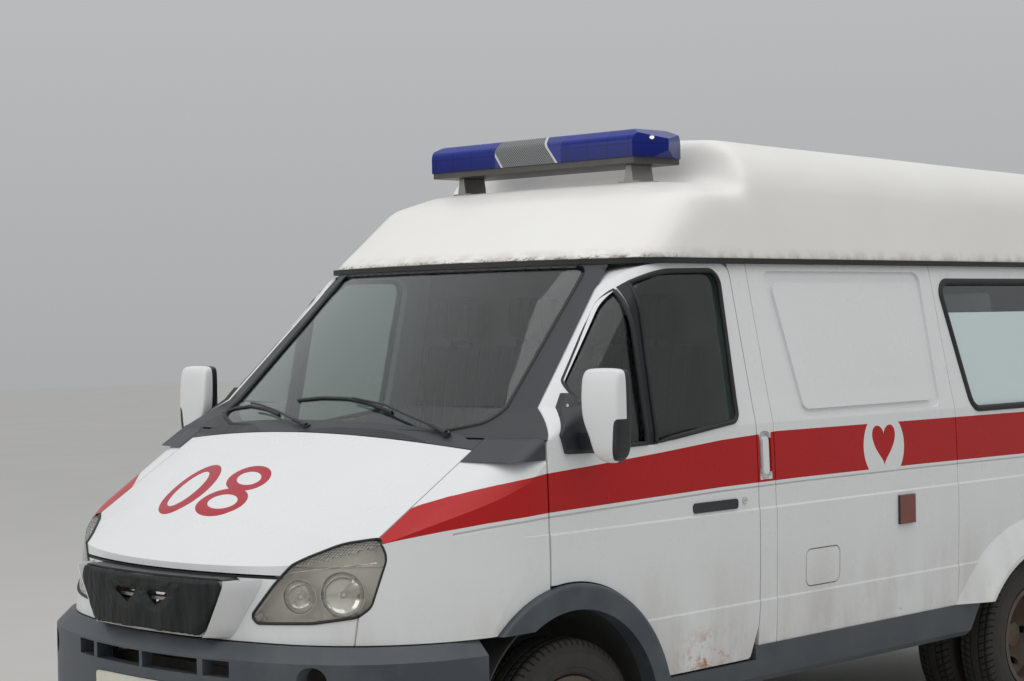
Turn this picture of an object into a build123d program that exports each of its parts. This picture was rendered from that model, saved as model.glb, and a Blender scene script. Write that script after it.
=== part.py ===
from build123d import *
import math
import os

os.makedirs("parts", exist_ok=True)

# An ambulance on a light van, left-hand drive, with a high roof cap and twin rear wheels
# Millimetres. The vehicle faces -Y, its left side is +X, and the ground is at Z 0

# Overall layout
FRONT_Y = -2750
REAR_Y = 2750
FRONT_AXLE_Y = -1700
WHEELBASE = 2900
REAR_AXLE_Y = FRONT_AXLE_Y + WHEELBASE
WALL = 48
SHUT_GAP = 5
SEAT_GAP = 0.3
FAR = 1200
UP = 2600

# Body side: one long arc from sill to belt, stepped in above each crease
HALF_WIDTH = 983
BELLY_R = 6400
BELLY_Z = 1010
CREASE_LOW_Z = 704
CREASE_HIGH_Z = 1039
CREASE_H = 7
CREASE_STEP = 4
BODY_LOW_Z = 400
PANEL_LOW_Z = 545
BELT_Z = 1350
PILLAR_Z = 1450
GUTTER_Z = 1950
REAR_FACE_Y = 2700
REAR_CORNER_R = 70

# Cab plan at three heights: height, half width, centre line front, front arc radius, corner radius
SIDE_X_BELT = HALF_WIDTH - BELLY_R + math.sqrt(BELLY_R**2 - (BELT_Z - BELLY_Z) ** 2) - 2 * CREASE_STEP
SCREEN_RAKE = 1.083
CAB_NOSE_Y = -1995
CAB_PLANS = [
    (BELT_Z, SIDE_X_BELT, CAB_NOSE_Y, 3350, 60),
    (PILLAR_Z, SIDE_X_BELT - 22, CAB_NOSE_Y + SCREEN_RAKE * (PILLAR_Z - BELT_Z), 2150, 200),
    (GUTTER_Z, 843, CAB_NOSE_Y + SCREEN_RAKE * (GUTTER_Z - BELT_Z), 2150, 150),
]

# Nose plan at three heights: height, half width, centre line front, front arc radius, corner radius
NOSE_Y = -2697
NOSE_ARC_R = 1900
NOSE_PLANS = [
    (BODY_LOW_Z, HALF_WIDTH, NOSE_Y, NOSE_ARC_R, 560),
    (560, HALF_WIDTH, NOSE_Y, NOSE_ARC_R, 560),
    (1200, 975, -2660, 1500, 800),
    (1600, 975, -2660, 1500, 800),
]

# Bonnet and wing crown: y, crown height, crown radius, shoulder radius
NOSE_SECTIONS = [
    (-1780, 1488, 4500, 170),
    (-2450, 1122, 2900, 230),
    (-2800, 889, 2600, 230),
]
CORNER_LOW_Z = 1285
CORNER_FRONT_Y = -2105
NOSE_LOW_Z = 742
FENDER_REAR_Y = -1831
SKIN = 22

# Wheel openings: centre y, centre z, opening radius
FRONT_ARCH = (-1735, 375, 415)
REAR_ARCH = (REAR_AXLE_Y, 171, 557)
FLARE_W = 85
FLARE_IN_X = HALF_WIDTH - WALL
FLARE_PROUD = 18
REAR_FLARE_W = 106
REAR_FLARE_X = 1037

# Front door outline in the side view, from the lower rear corner forwards and round
DOOR_LOW_Z = 499
DOOR_REAR_Y = -716
DOOR_TOP_Z = 1938
DOOR_SILL_REAR_Y = -768
SCREEN_POST_LOW = (-1829, 1340)
SCREEN_POST_HIGH = (-1296, 1875)

# Door window in the side view: lower rear, upper rear, upper front, post foot, lower front, sill bend
DOOR_GLASS = [(-812, 1360), (-776, 1919), (-1247, 1913), (-1626, 1521), (-1626, 1302), (-1290, 1306)]
DOOR_GLASS_RADII = [45, 60, 480, 60, 30, 200]
DOOR_FIELD_Z = 1280
VENT_BAR = [(-1323, 1290), (-1289, 1290), (-1248, 1925), (-1284, 1925)]
GLASS_T = 5
GLASS_SET = 12

# Panel seams on the body side
PILLAR_REAR_Y = -614
PANEL_SEAM_Y = 613
SEAM_W = 5

# Fixed side window in the rear panel
SIDE_GLASS_LOW_Z = 1342
SIDE_GLASS_TOP_Z = 1871
SIDE_GLASS_FRONT_LOW_Y = 748
SIDE_GLASS_FRONT_TOP_Y = 657
SIDE_GLASS_REAR_Y = 2290
SIDE_GLASS_R = 60

# Blank pressed field in the front panel
FIELD_OUT = [(-444, 1355), (513, 1363), (532, 1910), (-523, 1910)]
FIELD_IN = [(-404, 1390), (462, 1392), (478, 1867), (-476, 1867)]
FIELD_DEPTH = 12

# Pull handle and its pocket in the strip behind each front door
HANDLE_POCKET = [(-703, 1146), (-633, 1146), (-633, 1322), (-703, 1322)]
HANDLE_PULL = [(-690, 1166), (-655, 1166), (-655, 1302), (-690, 1302)]
HANDLE_DEPTH = 20

# Fuel flap and its pocket
FLAP_Y = (-434, -224)
FLAP_Z = (731, 864)
FLAP_T = 14
FLAP_R = 28
FLAP_GAP = 5

# Rear doors
REAR_DOOR_LOW_Z = 590
REAR_DOOR_TOP_Z = 1936
REAR_DOOR_HALF = 876
REAR_DOOR_TOP_HALF = 762
REAR_GLASS_LOW_Z = 1390
REAR_GLASS_TOP_Z = 1850
REAR_GLASS_IN_X = 95
REAR_GLASS_OUT_X = 700

# Sliding door on the right side
SLIDE_FRONT_Y = -614
SLIDE_LOW_Z = 575
SLIDE_TOP_Z = 1932
SLIDE_GLASS = [(-480, 1358), (455, 1358), (455, 1871), (-540, 1871)]

# Roof cap
CAP_FOOT_HALF = 862
CAP_CREASE_HALF = 822
CAP_CREASE_Z = 2196
CAP_SHELF_HALF = 605
CAP_SHELF_Z = 2254
CAP_SHELF_Y = -880
CAP_STEP_Y = -560
CAP_STEP_RUN = 90
CAP_T = 12
CAP_RAKE = 1.42
CAP_BOW = 36
CAP_SECTIONS = [
    (-700, 2450, 600, 2426, 2202),
    (REAR_FACE_Y - 4, 2390, 600, 2360, 2140),
]

# Light bar
BAR_HALF = 600
BAR_END = 60
BAR_Y = -745
BAR_DEPTH = 280
BAR_LOW_Z = 2322
BAR_TOP_Z = 2452
BAR_BASE_H = 22
BAR_FOOT_X = 450

# Front end
GRILLE_TOP_Z = 943
GRILLE_LOW_Z = 753
GRILLE_TOP_HALF = 412
GRILLE_LOW_HALF = 300
GRILLE_FRONT_Y = -2736
GRILLE_DEPTH = 84
GRILLE_FRAME = 20
COVER_T = 10
SLAT_COUNT = 6
SLAT_H = 10
BONNET_FRONT_Z = 953
BONNET_REAR_HALF = 752
BONNET_REAR_SIDE_Y = -1959
BONNET_REAR_MID_Y = -2015
BONNET_LAMP_HALF = 752
BUMPER_TOP_Z = 738
BUMPER_LOW_Z = 430
BUMPER_T = 40
BUMPER_LEDGE = 140
BUMPER_SLOPE = 45
BUMPER_W = 1000
BUMPER_SLOTS = [(8, 275), (298, 408)]
BUMPER_SLOT_Z = (634, 686)
BUMPER_LAMP_HOLE = (692, 640, 44)
PLATE_HALF = 270
PLATE_Z = (480, 600)

# Headlamp outline in the front view, left side
LAMP = [
    (428, 822), (452, 801), (640, 809), (752, 828), (779, 857),
    (797, 1007), (780, 1053), (750, 1064), (664, 1049), (570, 998), (503, 920),
]
LAMP_RADII = [18, 22, 150, 40, 40, 90, 36, 38, 160, 200, 200]
LENS_T = 5
LAMP_BOWLS = [(532, 880, 52), (654, 893, 62)]

# Wheels: 185/75 R16 tyres on 5.5 x 16 discs, six studs
TYRE_R = 342
TYRE_W = 184
RIM_R = 203
FLANGE_R = 218
RIM_HALF_W = 80
DISC_OFFSET = 106
HUB_BORE_R = 20.05
SPINDLE_R = 20
SPINDLE_END = 958
REAR_SPINDLE_END = 850
DISC_BORE_R = 65
DISC_T = 9
HUB_CAP_X = 998
REAR_HUB_X = 872
DRUM_R = 150
DRUM_FRONT_X = 826
DRUM_REAR_X = 640
STUD_PCD = 170
STUD_COUNT = 6
FRONT_TRACK_HALF = 850
TWIN_INNER_X = 674
TWIN_OUTER_X = 886
KINGPIN_X = 750

# Chassis
RAIL_X = 400
RAIL_W = 60
RAIL_H = 130
RAIL_LOW_Z = 500
RAIL_T = 8
RAIL_FRONT_Y = -2560
RAIL_REAR_Y = 2640
FLOOR_LOW_Z = 702
FLOOR_T = 36

FRONT_VIEW = Plane.XZ
SIDE_VIEW = Plane.YZ
PLAN_VIEW = Plane.XY


def outline(points, radius=0):
    """Closed flat outline, with its corners rounded where a radius is given."""
    if radius:
        return make_face(FilletPolyline(*points, radius=radius, close=True))
    return make_face(Polyline(*points, close=True))


def along_x(points, low, high, radius=0):
    """Side-view outline (y, z) pushed from one x to another."""
    return extrude(SIDE_VIEW.offset(low) * outline(points, radius), high - low)


def along_y(points, low, high, radius=0):
    """Front-view outline (x, z) pushed from one y to another."""
    return extrude(FRONT_VIEW.offset(-high) * outline(points, radius), high - low)


def along_z(points, low, high, radius=0):
    """Plan outline (x, y) pushed from one z to another."""
    return extrude(PLAN_VIEW.offset(low) * outline(points, radius), high - low)


def block(low, high):
    """Plain box between two corners."""
    size = [b - a for a, b in zip(low, high)]
    middle = [(a + b) / 2 for a, b in zip(low, high)]
    return Pos(*middle) * Box(*size)


def round_x(y, z, radius, low, high):
    """Cylinder along X."""
    return Pos((low + high) / 2, y, z) * Rot(0, 90, 0) * Cylinder(radius, high - low)


def both(piece):
    """The piece and its mirror image on the right side."""
    return [piece, mirror(piece, about=Plane.YZ)]


def save(name, *pieces):
    """Write one node from its solids."""
    solids = [solid for piece in pieces for solid in piece.solids()]
    export_step(solids[0] if len(solids) == 1 else Compound(children=solids), f"parts/{name}.step")


def side_x(z):
    """Half width of the body side below the belt, before any crease step."""
    return HALF_WIDTH - BELLY_R + math.sqrt(BELLY_R**2 - (z - BELLY_Z) ** 2)


def body_section(inset, top_z):
    """Front-view section of the lower body, stepped in at its creases."""
    bands = [
        (BODY_LOW_Z, CREASE_LOW_Z, 0),
        (CREASE_LOW_Z + CREASE_H, CREASE_HIGH_Z, CREASE_STEP),
        (CREASE_HIGH_Z + CREASE_H, top_z, 2 * CREASE_STEP),
    ]
    edges = []
    for side in (1, -1):
        last = None
        for low, high, step in bands:
            middle = (low + high) / 2
            ends = [(side * (side_x(z) - step - inset), z) for z in (low, middle, high)]
            if last:
                edges.append(Line(last, ends[0]))
            edges.append(ThreePointArc(*ends))
            last = ends[2]
        foot = side_x(BODY_LOW_Z) - inset
    head = side_x(top_z) - 2 * CREASE_STEP - inset
    edges.append(Line((-foot, BODY_LOW_Z), (foot, BODY_LOW_Z)))
    edges.append(Line((-head, top_z), (head, top_z)))
    return make_face(edges)


def plan_face(z, half, front_y, arc_r, corner_r, rear_y, rear_r):
    """Plan of the body at one height: bowed front, rounded corners, square rear."""
    arc_y = front_y + arc_r
    corner_y = arc_y - math.sqrt((arc_r - corner_r) ** 2 - (half - corner_r) ** 2)
    turn = math.atan2(corner_y - arc_y, half - corner_r)
    meet = (arc_r * math.cos(turn), arc_y + arc_r * math.sin(turn))
    bend = (half - corner_r + corner_r * math.cos(turn / 2), corner_y + corner_r * math.sin(turn / 2))
    back = rear_r * (1 - math.sqrt(0.5))
    edges = [
        Line((-half + rear_r, rear_y), (half - rear_r, rear_y)),
        ThreePointArc((half - rear_r, rear_y), (half - back, rear_y - back), (half, rear_y - rear_r)),
        Line((half, rear_y - rear_r), (half, corner_y)),
        ThreePointArc((half, corner_y), bend, meet),
        ThreePointArc(meet, (0, front_y), (-meet[0], meet[1])),
        ThreePointArc((-meet[0], meet[1]), (-bend[0], bend[1]), (-half, corner_y)),
        Line((-half, corner_y), (-half, rear_y - rear_r)),
        ThreePointArc((-half, rear_y - rear_r), (-half + back, rear_y - back), (-half + rear_r, rear_y)),
    ]
    return Pos(0, 0, z) * make_face(edges)


def lower_body(inset):
    """Body below the belt as one solid."""
    length = extrude(
        FRONT_VIEW.offset(-REAR_FACE_Y) * body_section(inset, BELT_Z), REAR_FACE_Y - FENDER_REAR_Y
    )
    plan = plan_face(
        BODY_LOW_Z, HALF_WIDTH + 10, -2400, 3000, 60, REAR_FACE_Y - inset, REAR_CORNER_R - inset / 2
    )
    return length & extrude(plan, BELT_Z - BODY_LOW_Z)


def upper_body(inset):
    """Body from the belt to the gutter as one solid."""
    slant = math.hypot(1, SCREEN_RAKE)
    faces = [
        plan_face(
            z, half - inset, front + inset * slant, arc_r - inset, max(corner_r - inset, 12),
            REAR_FACE_Y - inset, REAR_CORNER_R - inset / 2,
        )
        for z, half, front, arc_r, corner_r in CAB_PLANS
    ]
    return loft(faces, ruled=True)


def body(inset):
    """Whole body solid from the sill to the gutter."""
    return lower_body(inset) + upper_body(inset)


def nose(inset):
    """Nose, bonnet and front wings as one solid."""
    length = extrude(FRONT_VIEW.offset(1780) * body_section(inset, 1560), 1060)
    plans = [
        plan_face(z, half - inset, front + inset, arc_r - inset, corner_r - inset, -1780, 5)
        for z, half, front, arc_r, corner_r in NOSE_PLANS
    ]
    faces = []
    half = HALF_WIDTH + 2 - inset
    for y, crown_z, crown_r, shoulder_r in NOSE_SECTIONS:
        top = crown_z - inset * 1.15
        shoulder = shoulder_r - inset
        low = crown_r - inset
        shoulder_x = half - shoulder
        drop = low - math.sqrt((low - shoulder) ** 2 - shoulder_x**2)
        shoulder_z = top - drop
        turn = math.atan2(shoulder_z - (top - low), shoulder_x)
        meet = (low * math.cos(turn), top - low + low * math.sin(turn))
        bend = (shoulder_x + shoulder * math.cos(turn / 2), shoulder_z + shoulder * math.sin(turn / 2))
        edges = [
            ThreePointArc((-meet[0], meet[1]), (0, top), meet),
            ThreePointArc(meet, bend, (half, shoulder_z)),
            Line((half, shoulder_z), (half, BODY_LOW_Z)),
            Line((half, BODY_LOW_Z), (-half, BODY_LOW_Z)),
            Line((-half, BODY_LOW_Z), (-half, shoulder_z)),
            ThreePointArc((-half, shoulder_z), (-bend[0], bend[1]), (-meet[0], meet[1])),
        ]
        faces.append(FRONT_VIEW.offset(-y) * make_face(edges))
    return length & loft(plans, ruled=True) & loft(faces, ruled=True)


def arch(centre, grow, low, high):
    """Round wheel opening, grown or shrunk."""
    y, z, radius = centre
    return round_x(y, z, radius + grow, low, high)


# Whole-body solids that the panels are cut from
skin = body(0)
lining = body(WALL)
shell = skin - lining
glass_layer = body(GLASS_SET) - body(GLASS_SET + GLASS_T)
nose_skin = nose(0)
nose_shell = nose_skin - nose(SKIN)

def door_outline(grow):
    """Front door in the side view; grow is negative for the door and positive for its opening."""
    y_post, z_post = SCREEN_POST_LOW
    y_head, z_head = SCREEN_POST_HIGH
    rake = (y_head - y_post) / (z_head - z_post)
    lean = grow * math.hypot(1, rake)
    top = DOOR_TOP_Z + grow
    return [
        (DOOR_SILL_REAR_Y + grow * 0.6, DOOR_LOW_Z - grow),
        (DOOR_REAR_Y - 6 + grow, 620),
        (DOOR_REAR_Y + grow, 700),
        (DOOR_REAR_Y + grow, top),
        (y_post + rake * (top - z_post) - lean, top),
        (y_post - grow, z_post - grow * 0.4),
        (y_post - grow, DOOR_LOW_Z - grow),
    ]


DOOR_RADII = [20, 60, 90, 45, 330, 40, 1]


# Screen post in the front view: how far in the door reaches as x, z
POST_FRONT = [(850, 1350), (797, 1524), (676, 1950)]


def door_prism(grow):
    """Left door outline pushed through the side, cut round at the flare and square at the post."""
    prism = along_x(door_outline(grow), 0, FAR, DOOR_RADII)
    prism -= arch(FRONT_ARCH, FLARE_W + SHUT_GAP / 2 - grow, -1, FAR + 1)
    inward = [(x - grow, z) for x, z in POST_FRONT]
    field = [(0, 0), (0, BELT_Z), inward[0], inward[1], inward[2], (FAR, GUTTER_Z), (FAR, 0)]
    return prism & along_y(field, -2000, 0)


def window_outline(points, grow):
    """Outline with every point moved out from the middle, or in where grow is negative."""
    mid_y = sum(point[0] for point in points) / len(points)
    mid_z = sum(point[1] for point in points) / len(points)
    return [
        (y + grow * math.copysign(1, y - mid_y), z + grow * math.copysign(1, z - mid_z))
        for y, z in points
    ]


post_run = SCREEN_POST_HIGH[0] - SCREEN_POST_LOW[0]
post_rise = SCREEN_POST_HIGH[1] - SCREEN_POST_LOW[1]

# Front doors, their glass and mirrors
door_shell = shell & block((0, -1990, 480), (FAR, -600, GUTTER_Z))
door_glass_layer = glass_layer & block((0, -1990, DOOR_FIELD_Z), (FAR, -600, GUTTER_Z))
window_cut = along_x(DOOR_GLASS, 0, FAR, DOOR_GLASS_RADII)
door = (door_shell & door_prism(-SHUT_GAP / 2)) - window_cut
flare_top_z = FRONT_ARCH[1] + FRONT_ARCH[2] + FLARE_W
door -= block((0, -1990, 700), (FAR, -1790, flare_top_z + 1))
door -= block((0, -1990, 700), (FLARE_IN_X + 31, FRONT_ARCH[0] + 35, flare_top_z + 9))
bar = along_x(VENT_BAR, 0, FAR)
bar_layer = (skin - body(30)) & block((0, -1990, DOOR_FIELD_Z), (FAR, -600, GUTTER_Z))
door += bar_layer & bar & window_cut
panes = (door_glass_layer & window_cut) - bar
for name, sign in (("left", 1), ("right", -1)):
    pick = door if sign > 0 else mirror(door, about=Plane.YZ)
    save(f"door_front_{name}", pick)
    pick = panes if sign > 0 else mirror(panes, about=Plane.YZ)
    save(f"glass_front_{name}", pick)

# Door mirrors: a tall rounded head on a dark foot in the window's front corner
MIRROR_X = (1004, 1172)
MIRROR_Y = (-1708, -1634)
MIRROR_Z = (1272, 1584)
MIRROR_R = 40
MIRROR_FOOT = [(-1745, 1300), (-1764, 1364), (-1640, 1505), (-1614, 1440), (-1600, 1380), (-1600, 1296)]
MIRROR_FOOT_T = 14
head = block(
    (MIRROR_X[0], MIRROR_Y[0], MIRROR_Z[0]), (MIRROR_X[1], MIRROR_Y[1], MIRROR_Z[1])
)
head = fillet(head.edges().filter_by(Axis.Y), MIRROR_R)
head = fillet(head.faces().sort_by(Axis.Y)[0].edges(), 28)
foot_field = along_x(MIRROR_FOOT, 0, FAR, 10)
foot = (body(-MIRROR_FOOT_T) - body(-SEAT_GAP)) & foot_field
arm = block((968, MIRROR_Y[0] + 20, 1312), (MIRROR_X[0] + 20, MIRROR_Y[1] - 12, 1368)) - body(-SEAT_GAP)
mirror_left = head + arm + foot
for name, piece in zip(("left", "right"), both(mirror_left)):
    save(f"mirror_{name}", piece)

# Windscreen frame: the two posts and the header, in front of the door line
post_front = along_x(
    [
        (-2100, BELT_Z + 6),
        (SCREEN_POST_LOW[0] - SHUT_GAP / 2, BELT_Z + 6),
        (SCREEN_POST_LOW[0] - SHUT_GAP / 2, SCREEN_POST_LOW[1] - 1),
        (SCREEN_POST_LOW[0] + 1 * post_run / post_rise * (DOOR_TOP_Z - SCREEN_POST_LOW[1]), DOOR_TOP_Z),
        (-1085, GUTTER_Z - 14),
        (-1085, GUTTER_Z - 1),
        (-2100, GUTTER_Z - 1),
    ],
    -FAR, FAR,
)
door_hole = door_prism(SHUT_GAP / 2)
door_holes = both(door_hole)
SCREEN_LOW_Z = 1392
SCREEN_TOP_Z = 1926
SCREEN_LOW_HALF = 728
SCREEN_TOP_HALF = 650
screen_cut = along_y(
    [
        (-SCREEN_LOW_HALF, SCREEN_LOW_Z + 12), (-SCREEN_LOW_HALF + 160, SCREEN_LOW_Z - 22),
        (SCREEN_LOW_HALF - 160, SCREEN_LOW_Z - 22), (SCREEN_LOW_HALF, SCREEN_LOW_Z + 12),
        (SCREEN_TOP_HALF, SCREEN_TOP_Z), (-SCREEN_TOP_HALF, SCREEN_TOP_Z),
    ],
    -2100, -1000, [50, 120, 120, 50, 45, 45],
)
upper_shell = upper_body(0) - upper_body(WALL)
screen_frame = (upper_shell & post_front) - screen_cut
for hole in door_holes:
    screen_frame -= hole
save("windscreen_frame", screen_frame)
screen = (upper_body(6) - upper_body(12)) & block((-900, -2100, BELT_Z), (900, -1000, GUTTER_Z)) & screen_cut
save("windscreen", screen)

# Cowl: the dark panel between the bonnet and the glass
bonnet_rear = make_face(
    [
        ThreePointArc(
            (-BONNET_REAR_HALF, BONNET_REAR_SIDE_Y), (0, BONNET_REAR_MID_Y),
            (BONNET_REAR_HALF, BONNET_REAR_SIDE_Y),
        ),
        Line((BONNET_REAR_HALF, BONNET_REAR_SIDE_Y), (BONNET_LAMP_HALF, -2440)),
        Line((BONNET_LAMP_HALF, -2440), (BONNET_LAMP_HALF, -2800)),
        Line((BONNET_LAMP_HALF, -2800), (-BONNET_LAMP_HALF, -2800)),
        Line((-BONNET_LAMP_HALF, -2800), (-BONNET_LAMP_HALF, -2440)),
        Line((-BONNET_LAMP_HALF, -2440), (-BONNET_REAR_HALF, BONNET_REAR_SIDE_Y)),
    ]
)
bonnet_field = Pos(0, 0, 700) * extrude(bonnet_rear, 900)
cowl = (nose_shell - skin) & block((-FAR, -2100, 900), (FAR, FENDER_REAR_Y - SHUT_GAP / 2, 1500))
cowl = cowl & block((-BONNET_REAR_HALF, -2100, 900), (BONNET_REAR_HALF, -1800, 1500))
cowl -= Pos(0, SHUT_GAP, 0) * bonnet_field
BONNET_REST_X = (590, 630)
rest = nose(SKIN + SEAT_GAP) & block((BONNET_REST_X[0], -2040, 1250), (BONNET_REST_X[1], -1900, 1420))
rest += (nose_skin & block((BONNET_REST_X[0], -1968, 1250), (BONNET_REST_X[1], -1900, 1420)))
for piece in both(rest - skin):
    cowl += piece

# Dark corner panels: the post's surface carried down to the wing in front of each door
half, front, arc_r, corner_r = CAB_PLANS[0][1:]
head_rise = 6 - SEAT_GAP
corner_bulk = loft(
    [
        plan_face(CORNER_LOW_Z, half, CORNER_FRONT_Y, arc_r, corner_r, -1700, 5),
        plan_face(BELT_Z, half, front, arc_r, corner_r, -1700, 5),
        plan_face(BELT_Z + head_rise, half - 1, front + SCREEN_RAKE * head_rise, arc_r, corner_r, -1700, 5),
    ],
    ruled=True,
)
corner_bulk = corner_bulk & block(
    (BONNET_REAR_HALF + SHUT_GAP, -2200, 1200), (FAR, FENDER_REAR_Y - SHUT_GAP / 2, 1500)
)
corner_piece = corner_bulk - nose(-SEAT_GAP) - door_hole
save("cowl_panel", cowl, *both(corner_piece))

# Bonnet: hinged at its rear edge
lamp_wide = along_y(window_outline(LAMP, 4), -2900, -2200, LAMP_RADII)
bonnet = nose_shell & bonnet_field & block((-FAR, -2800, BONNET_FRONT_Z), (FAR, -1900, 1600))
for cut in both(lamp_wide):
    bonnet -= cut
save("bonnet", bonnet)

# Front wings: the nose shell outside the bonnet line, open at the wheel
wing_low = NOSE_LOW_Z
wing = nose_shell & block((0, -2800, wing_low), (FAR, FENDER_REAR_Y - SHUT_GAP / 2, 1500))
wing_field = along_z(
    [
        (BONNET_REAR_HALF + SHUT_GAP, BONNET_REAR_SIDE_Y), (BONNET_LAMP_HALF + SHUT_GAP, -2440),
        (BONNET_LAMP_HALF + SHUT_GAP, -2800), (FAR, -2800), (FAR, -1700),
        (BONNET_REAR_HALF + SHUT_GAP, -1700),
    ],
    0, 1600,
)
wing = (wing & wing_field) - lamp_wide - arch(FRONT_ARCH, FLARE_W + 1, -1, FAR) - skin
save("front_wings", *both(wing))

# Nose panel: below the bonnet's front edge, round the grille and between the lamps
nose_panel = nose_shell & block(
    (-BONNET_LAMP_HALF, -2800, NOSE_LOW_Z), (BONNET_LAMP_HALF, -2200, BONNET_FRONT_Z - SHUT_GAP)
)
GRILLE_RADII = [50, 50, 34, 34]
GRILLE_OUT = [
    (-GRILLE_LOW_HALF, GRILLE_LOW_Z), (GRILLE_LOW_HALF, GRILLE_LOW_Z),
    (GRILLE_TOP_HALF, GRILLE_TOP_Z), (-GRILLE_TOP_HALF, GRILLE_TOP_Z),
]
grille_hole = along_y(GRILLE_OUT, -2900, -2300, GRILLE_RADII)
nose_panel -= grille_hole
for cut in both(lamp_wide):
    nose_panel -= cut
nose_panel = nose_panel & block((-FAR, -2800, 0), (FAR, -2300, 1600))
rail_top = RAIL_LOW_Z + RAIL_H + SEAT_GAP
stay = block((RAIL_X - 30, RAIL_FRONT_Y + 5, rail_top), (RAIL_X, RAIL_FRONT_Y + 55, 800))
stay += block((RAIL_X - 30, -2618, 765), (RAIL_X, RAIL_FRONT_Y + 55, 800))
for piece in both(stay):
    nose_panel += piece
save("nose_panel", nose_panel)

# Grille: a bowed frame with level slats, standing proud of the nose


def grille_layer(front_y, rear_y):
    """Upright bowed layer between two centre line places."""
    solids = [
        Pos(0, 0, GRILLE_LOW_Z - 10)
        * extrude(plan_face(0, 900, y, NOSE_ARC_R, 300, -2000, 5), GRILLE_TOP_Z - GRILLE_LOW_Z + 20)
        for y in (front_y, rear_y)
    ]
    return solids[0] - solids[1]


GRILLE_OPEN_RADII = [34, 34, 20, 20]
grille_body = along_y(window_outline(GRILLE_OUT, -SEAT_GAP), -2900, -2300, GRILLE_RADII)
grille_open = along_y(window_outline(GRILLE_OUT, -GRILLE_FRAME), -2900, -2300, GRILLE_OPEN_RADII)
grille = grille_layer(GRILLE_FRONT_Y, GRILLE_FRONT_Y + GRILLE_DEPTH) & (grille_body - grille_open)
slat_bulk = grille_layer(GRILLE_FRONT_Y + 14, GRILLE_FRONT_Y + 50) & grille_body
slat_pitch = (GRILLE_TOP_Z - GRILLE_LOW_Z - 2 * GRILLE_FRAME) / SLAT_COUNT
for index in range(SLAT_COUNT):
    z = GRILLE_LOW_Z + GRILLE_FRAME + slat_pitch * (index + 0.5)
    grille += slat_bulk & block((-900, -2900, z - SLAT_H / 2), (900, -2300, z + SLAT_H / 2))
for x in (-190, 0, 190):
    grille += slat_bulk & block((x - 5, -2900, GRILLE_LOW_Z + 2), (x + 5, -2300, GRILLE_TOP_Z - 2))
save("grille", grille)

# Padded cover over the grille's face, with two small openings in its middle
cover = grille_layer(GRILLE_FRONT_Y - COVER_T, GRILLE_FRONT_Y - SEAT_GAP) & along_y(
    window_outline(GRILLE_OUT, -3), -2900, -2300, GRILLE_RADII
)
for side in (1, -1):
    cover -= along_y([(side * 22, 886), (side * 75, 840), (side * 165, 886)], -2900, -2300, 8)
save("grille_cover", cover)

# Headlamps: a clear lens in the nose line over a housing with two bowls
lens = (nose_skin - nose(LENS_T)) & along_y(LAMP, -2900, -2200, LAMP_RADII)
housing_field = along_y(window_outline(LAMP, -6), -2900, -2200, [0.7 * radius for radius in LAMP_RADII])
lamp_back = along_z([(400, -2830), (920, -2830), (920, -2262), (440, -2518), (400, -2526)], 700, 1200)
housing = nose(LENS_T + SEAT_GAP) & housing_field & lamp_back
for x, z, radius in LAMP_BOWLS:
    face_y = NOSE_Y + x * x / (2 * NOSE_ARC_R) + 95
    housing -= Pos(x, face_y - 100, z) * Rot(90, 0, 0) * Cylinder(radius, 240)
housing += nose(SKIN + SEAT_GAP) & lamp_back & block((415, -2800, 850), (500, -2300, 930))
save("headlamp_lenses", *both(lens))
save("headlamps", *both(housing))

# Front bumper: a wrapped moulding with slots and a recess for the plate
bumper_plans = [
    plan_face(0, BUMPER_W - inset, FRONT_Y + inset, NOSE_ARC_R - inset, 600 - inset, -1900, 5)
    for inset in (0, BUMPER_SLOPE, BUMPER_T, BUMPER_LEDGE)
]
bumper = loft(
    [
        Pos(0, 0, BUMPER_LOW_Z) * bumper_plans[0], Pos(0, 0, BUMPER_TOP_Z - BUMPER_SLOPE) * bumper_plans[0],
        Pos(0, 0, BUMPER_TOP_Z) * bumper_plans[1],
    ],
    ruled=True,
)
bumper -= Pos(0, 0, BUMPER_LOW_Z - 1) * extrude(bumper_plans[2], BUMPER_TOP_Z - BUMPER_LOW_Z - 20)
bumper -= extrude(bumper_plans[3], 1000)
bumper -= block((-FAR, -2140, 0), (FAR, -1800, 1000))
bumper -= arch(FRONT_ARCH, 4, -FAR, FAR)
for side in (1, -1):
    for near, far in BUMPER_SLOTS:
        ends = sorted((side * near, side * far))
        bumper -= block((ends[0], -2800, BUMPER_SLOT_Z[0]), (ends[1], -2500, BUMPER_SLOT_Z[1]))
    hole_x, hole_z, hole_r = BUMPER_LAMP_HOLE
    bumper -= Pos(side * hole_x, -2560, hole_z) * Rot(90, 0, 0) * Cylinder(hole_r, 400)
    bracket_x = sorted((side * (RAIL_X + 15), side * (RAIL_X + 40)))
    bumper += block((bracket_x[0], -2680, 520), (bracket_x[1], RAIL_FRONT_Y - SEAT_GAP, 600))
bumper -= block((-PLATE_HALF, -2800, PLATE_Z[0]), (PLATE_HALF, FRONT_Y + 10, PLATE_Z[1]))
save("front_bumper", bumper)

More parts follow.
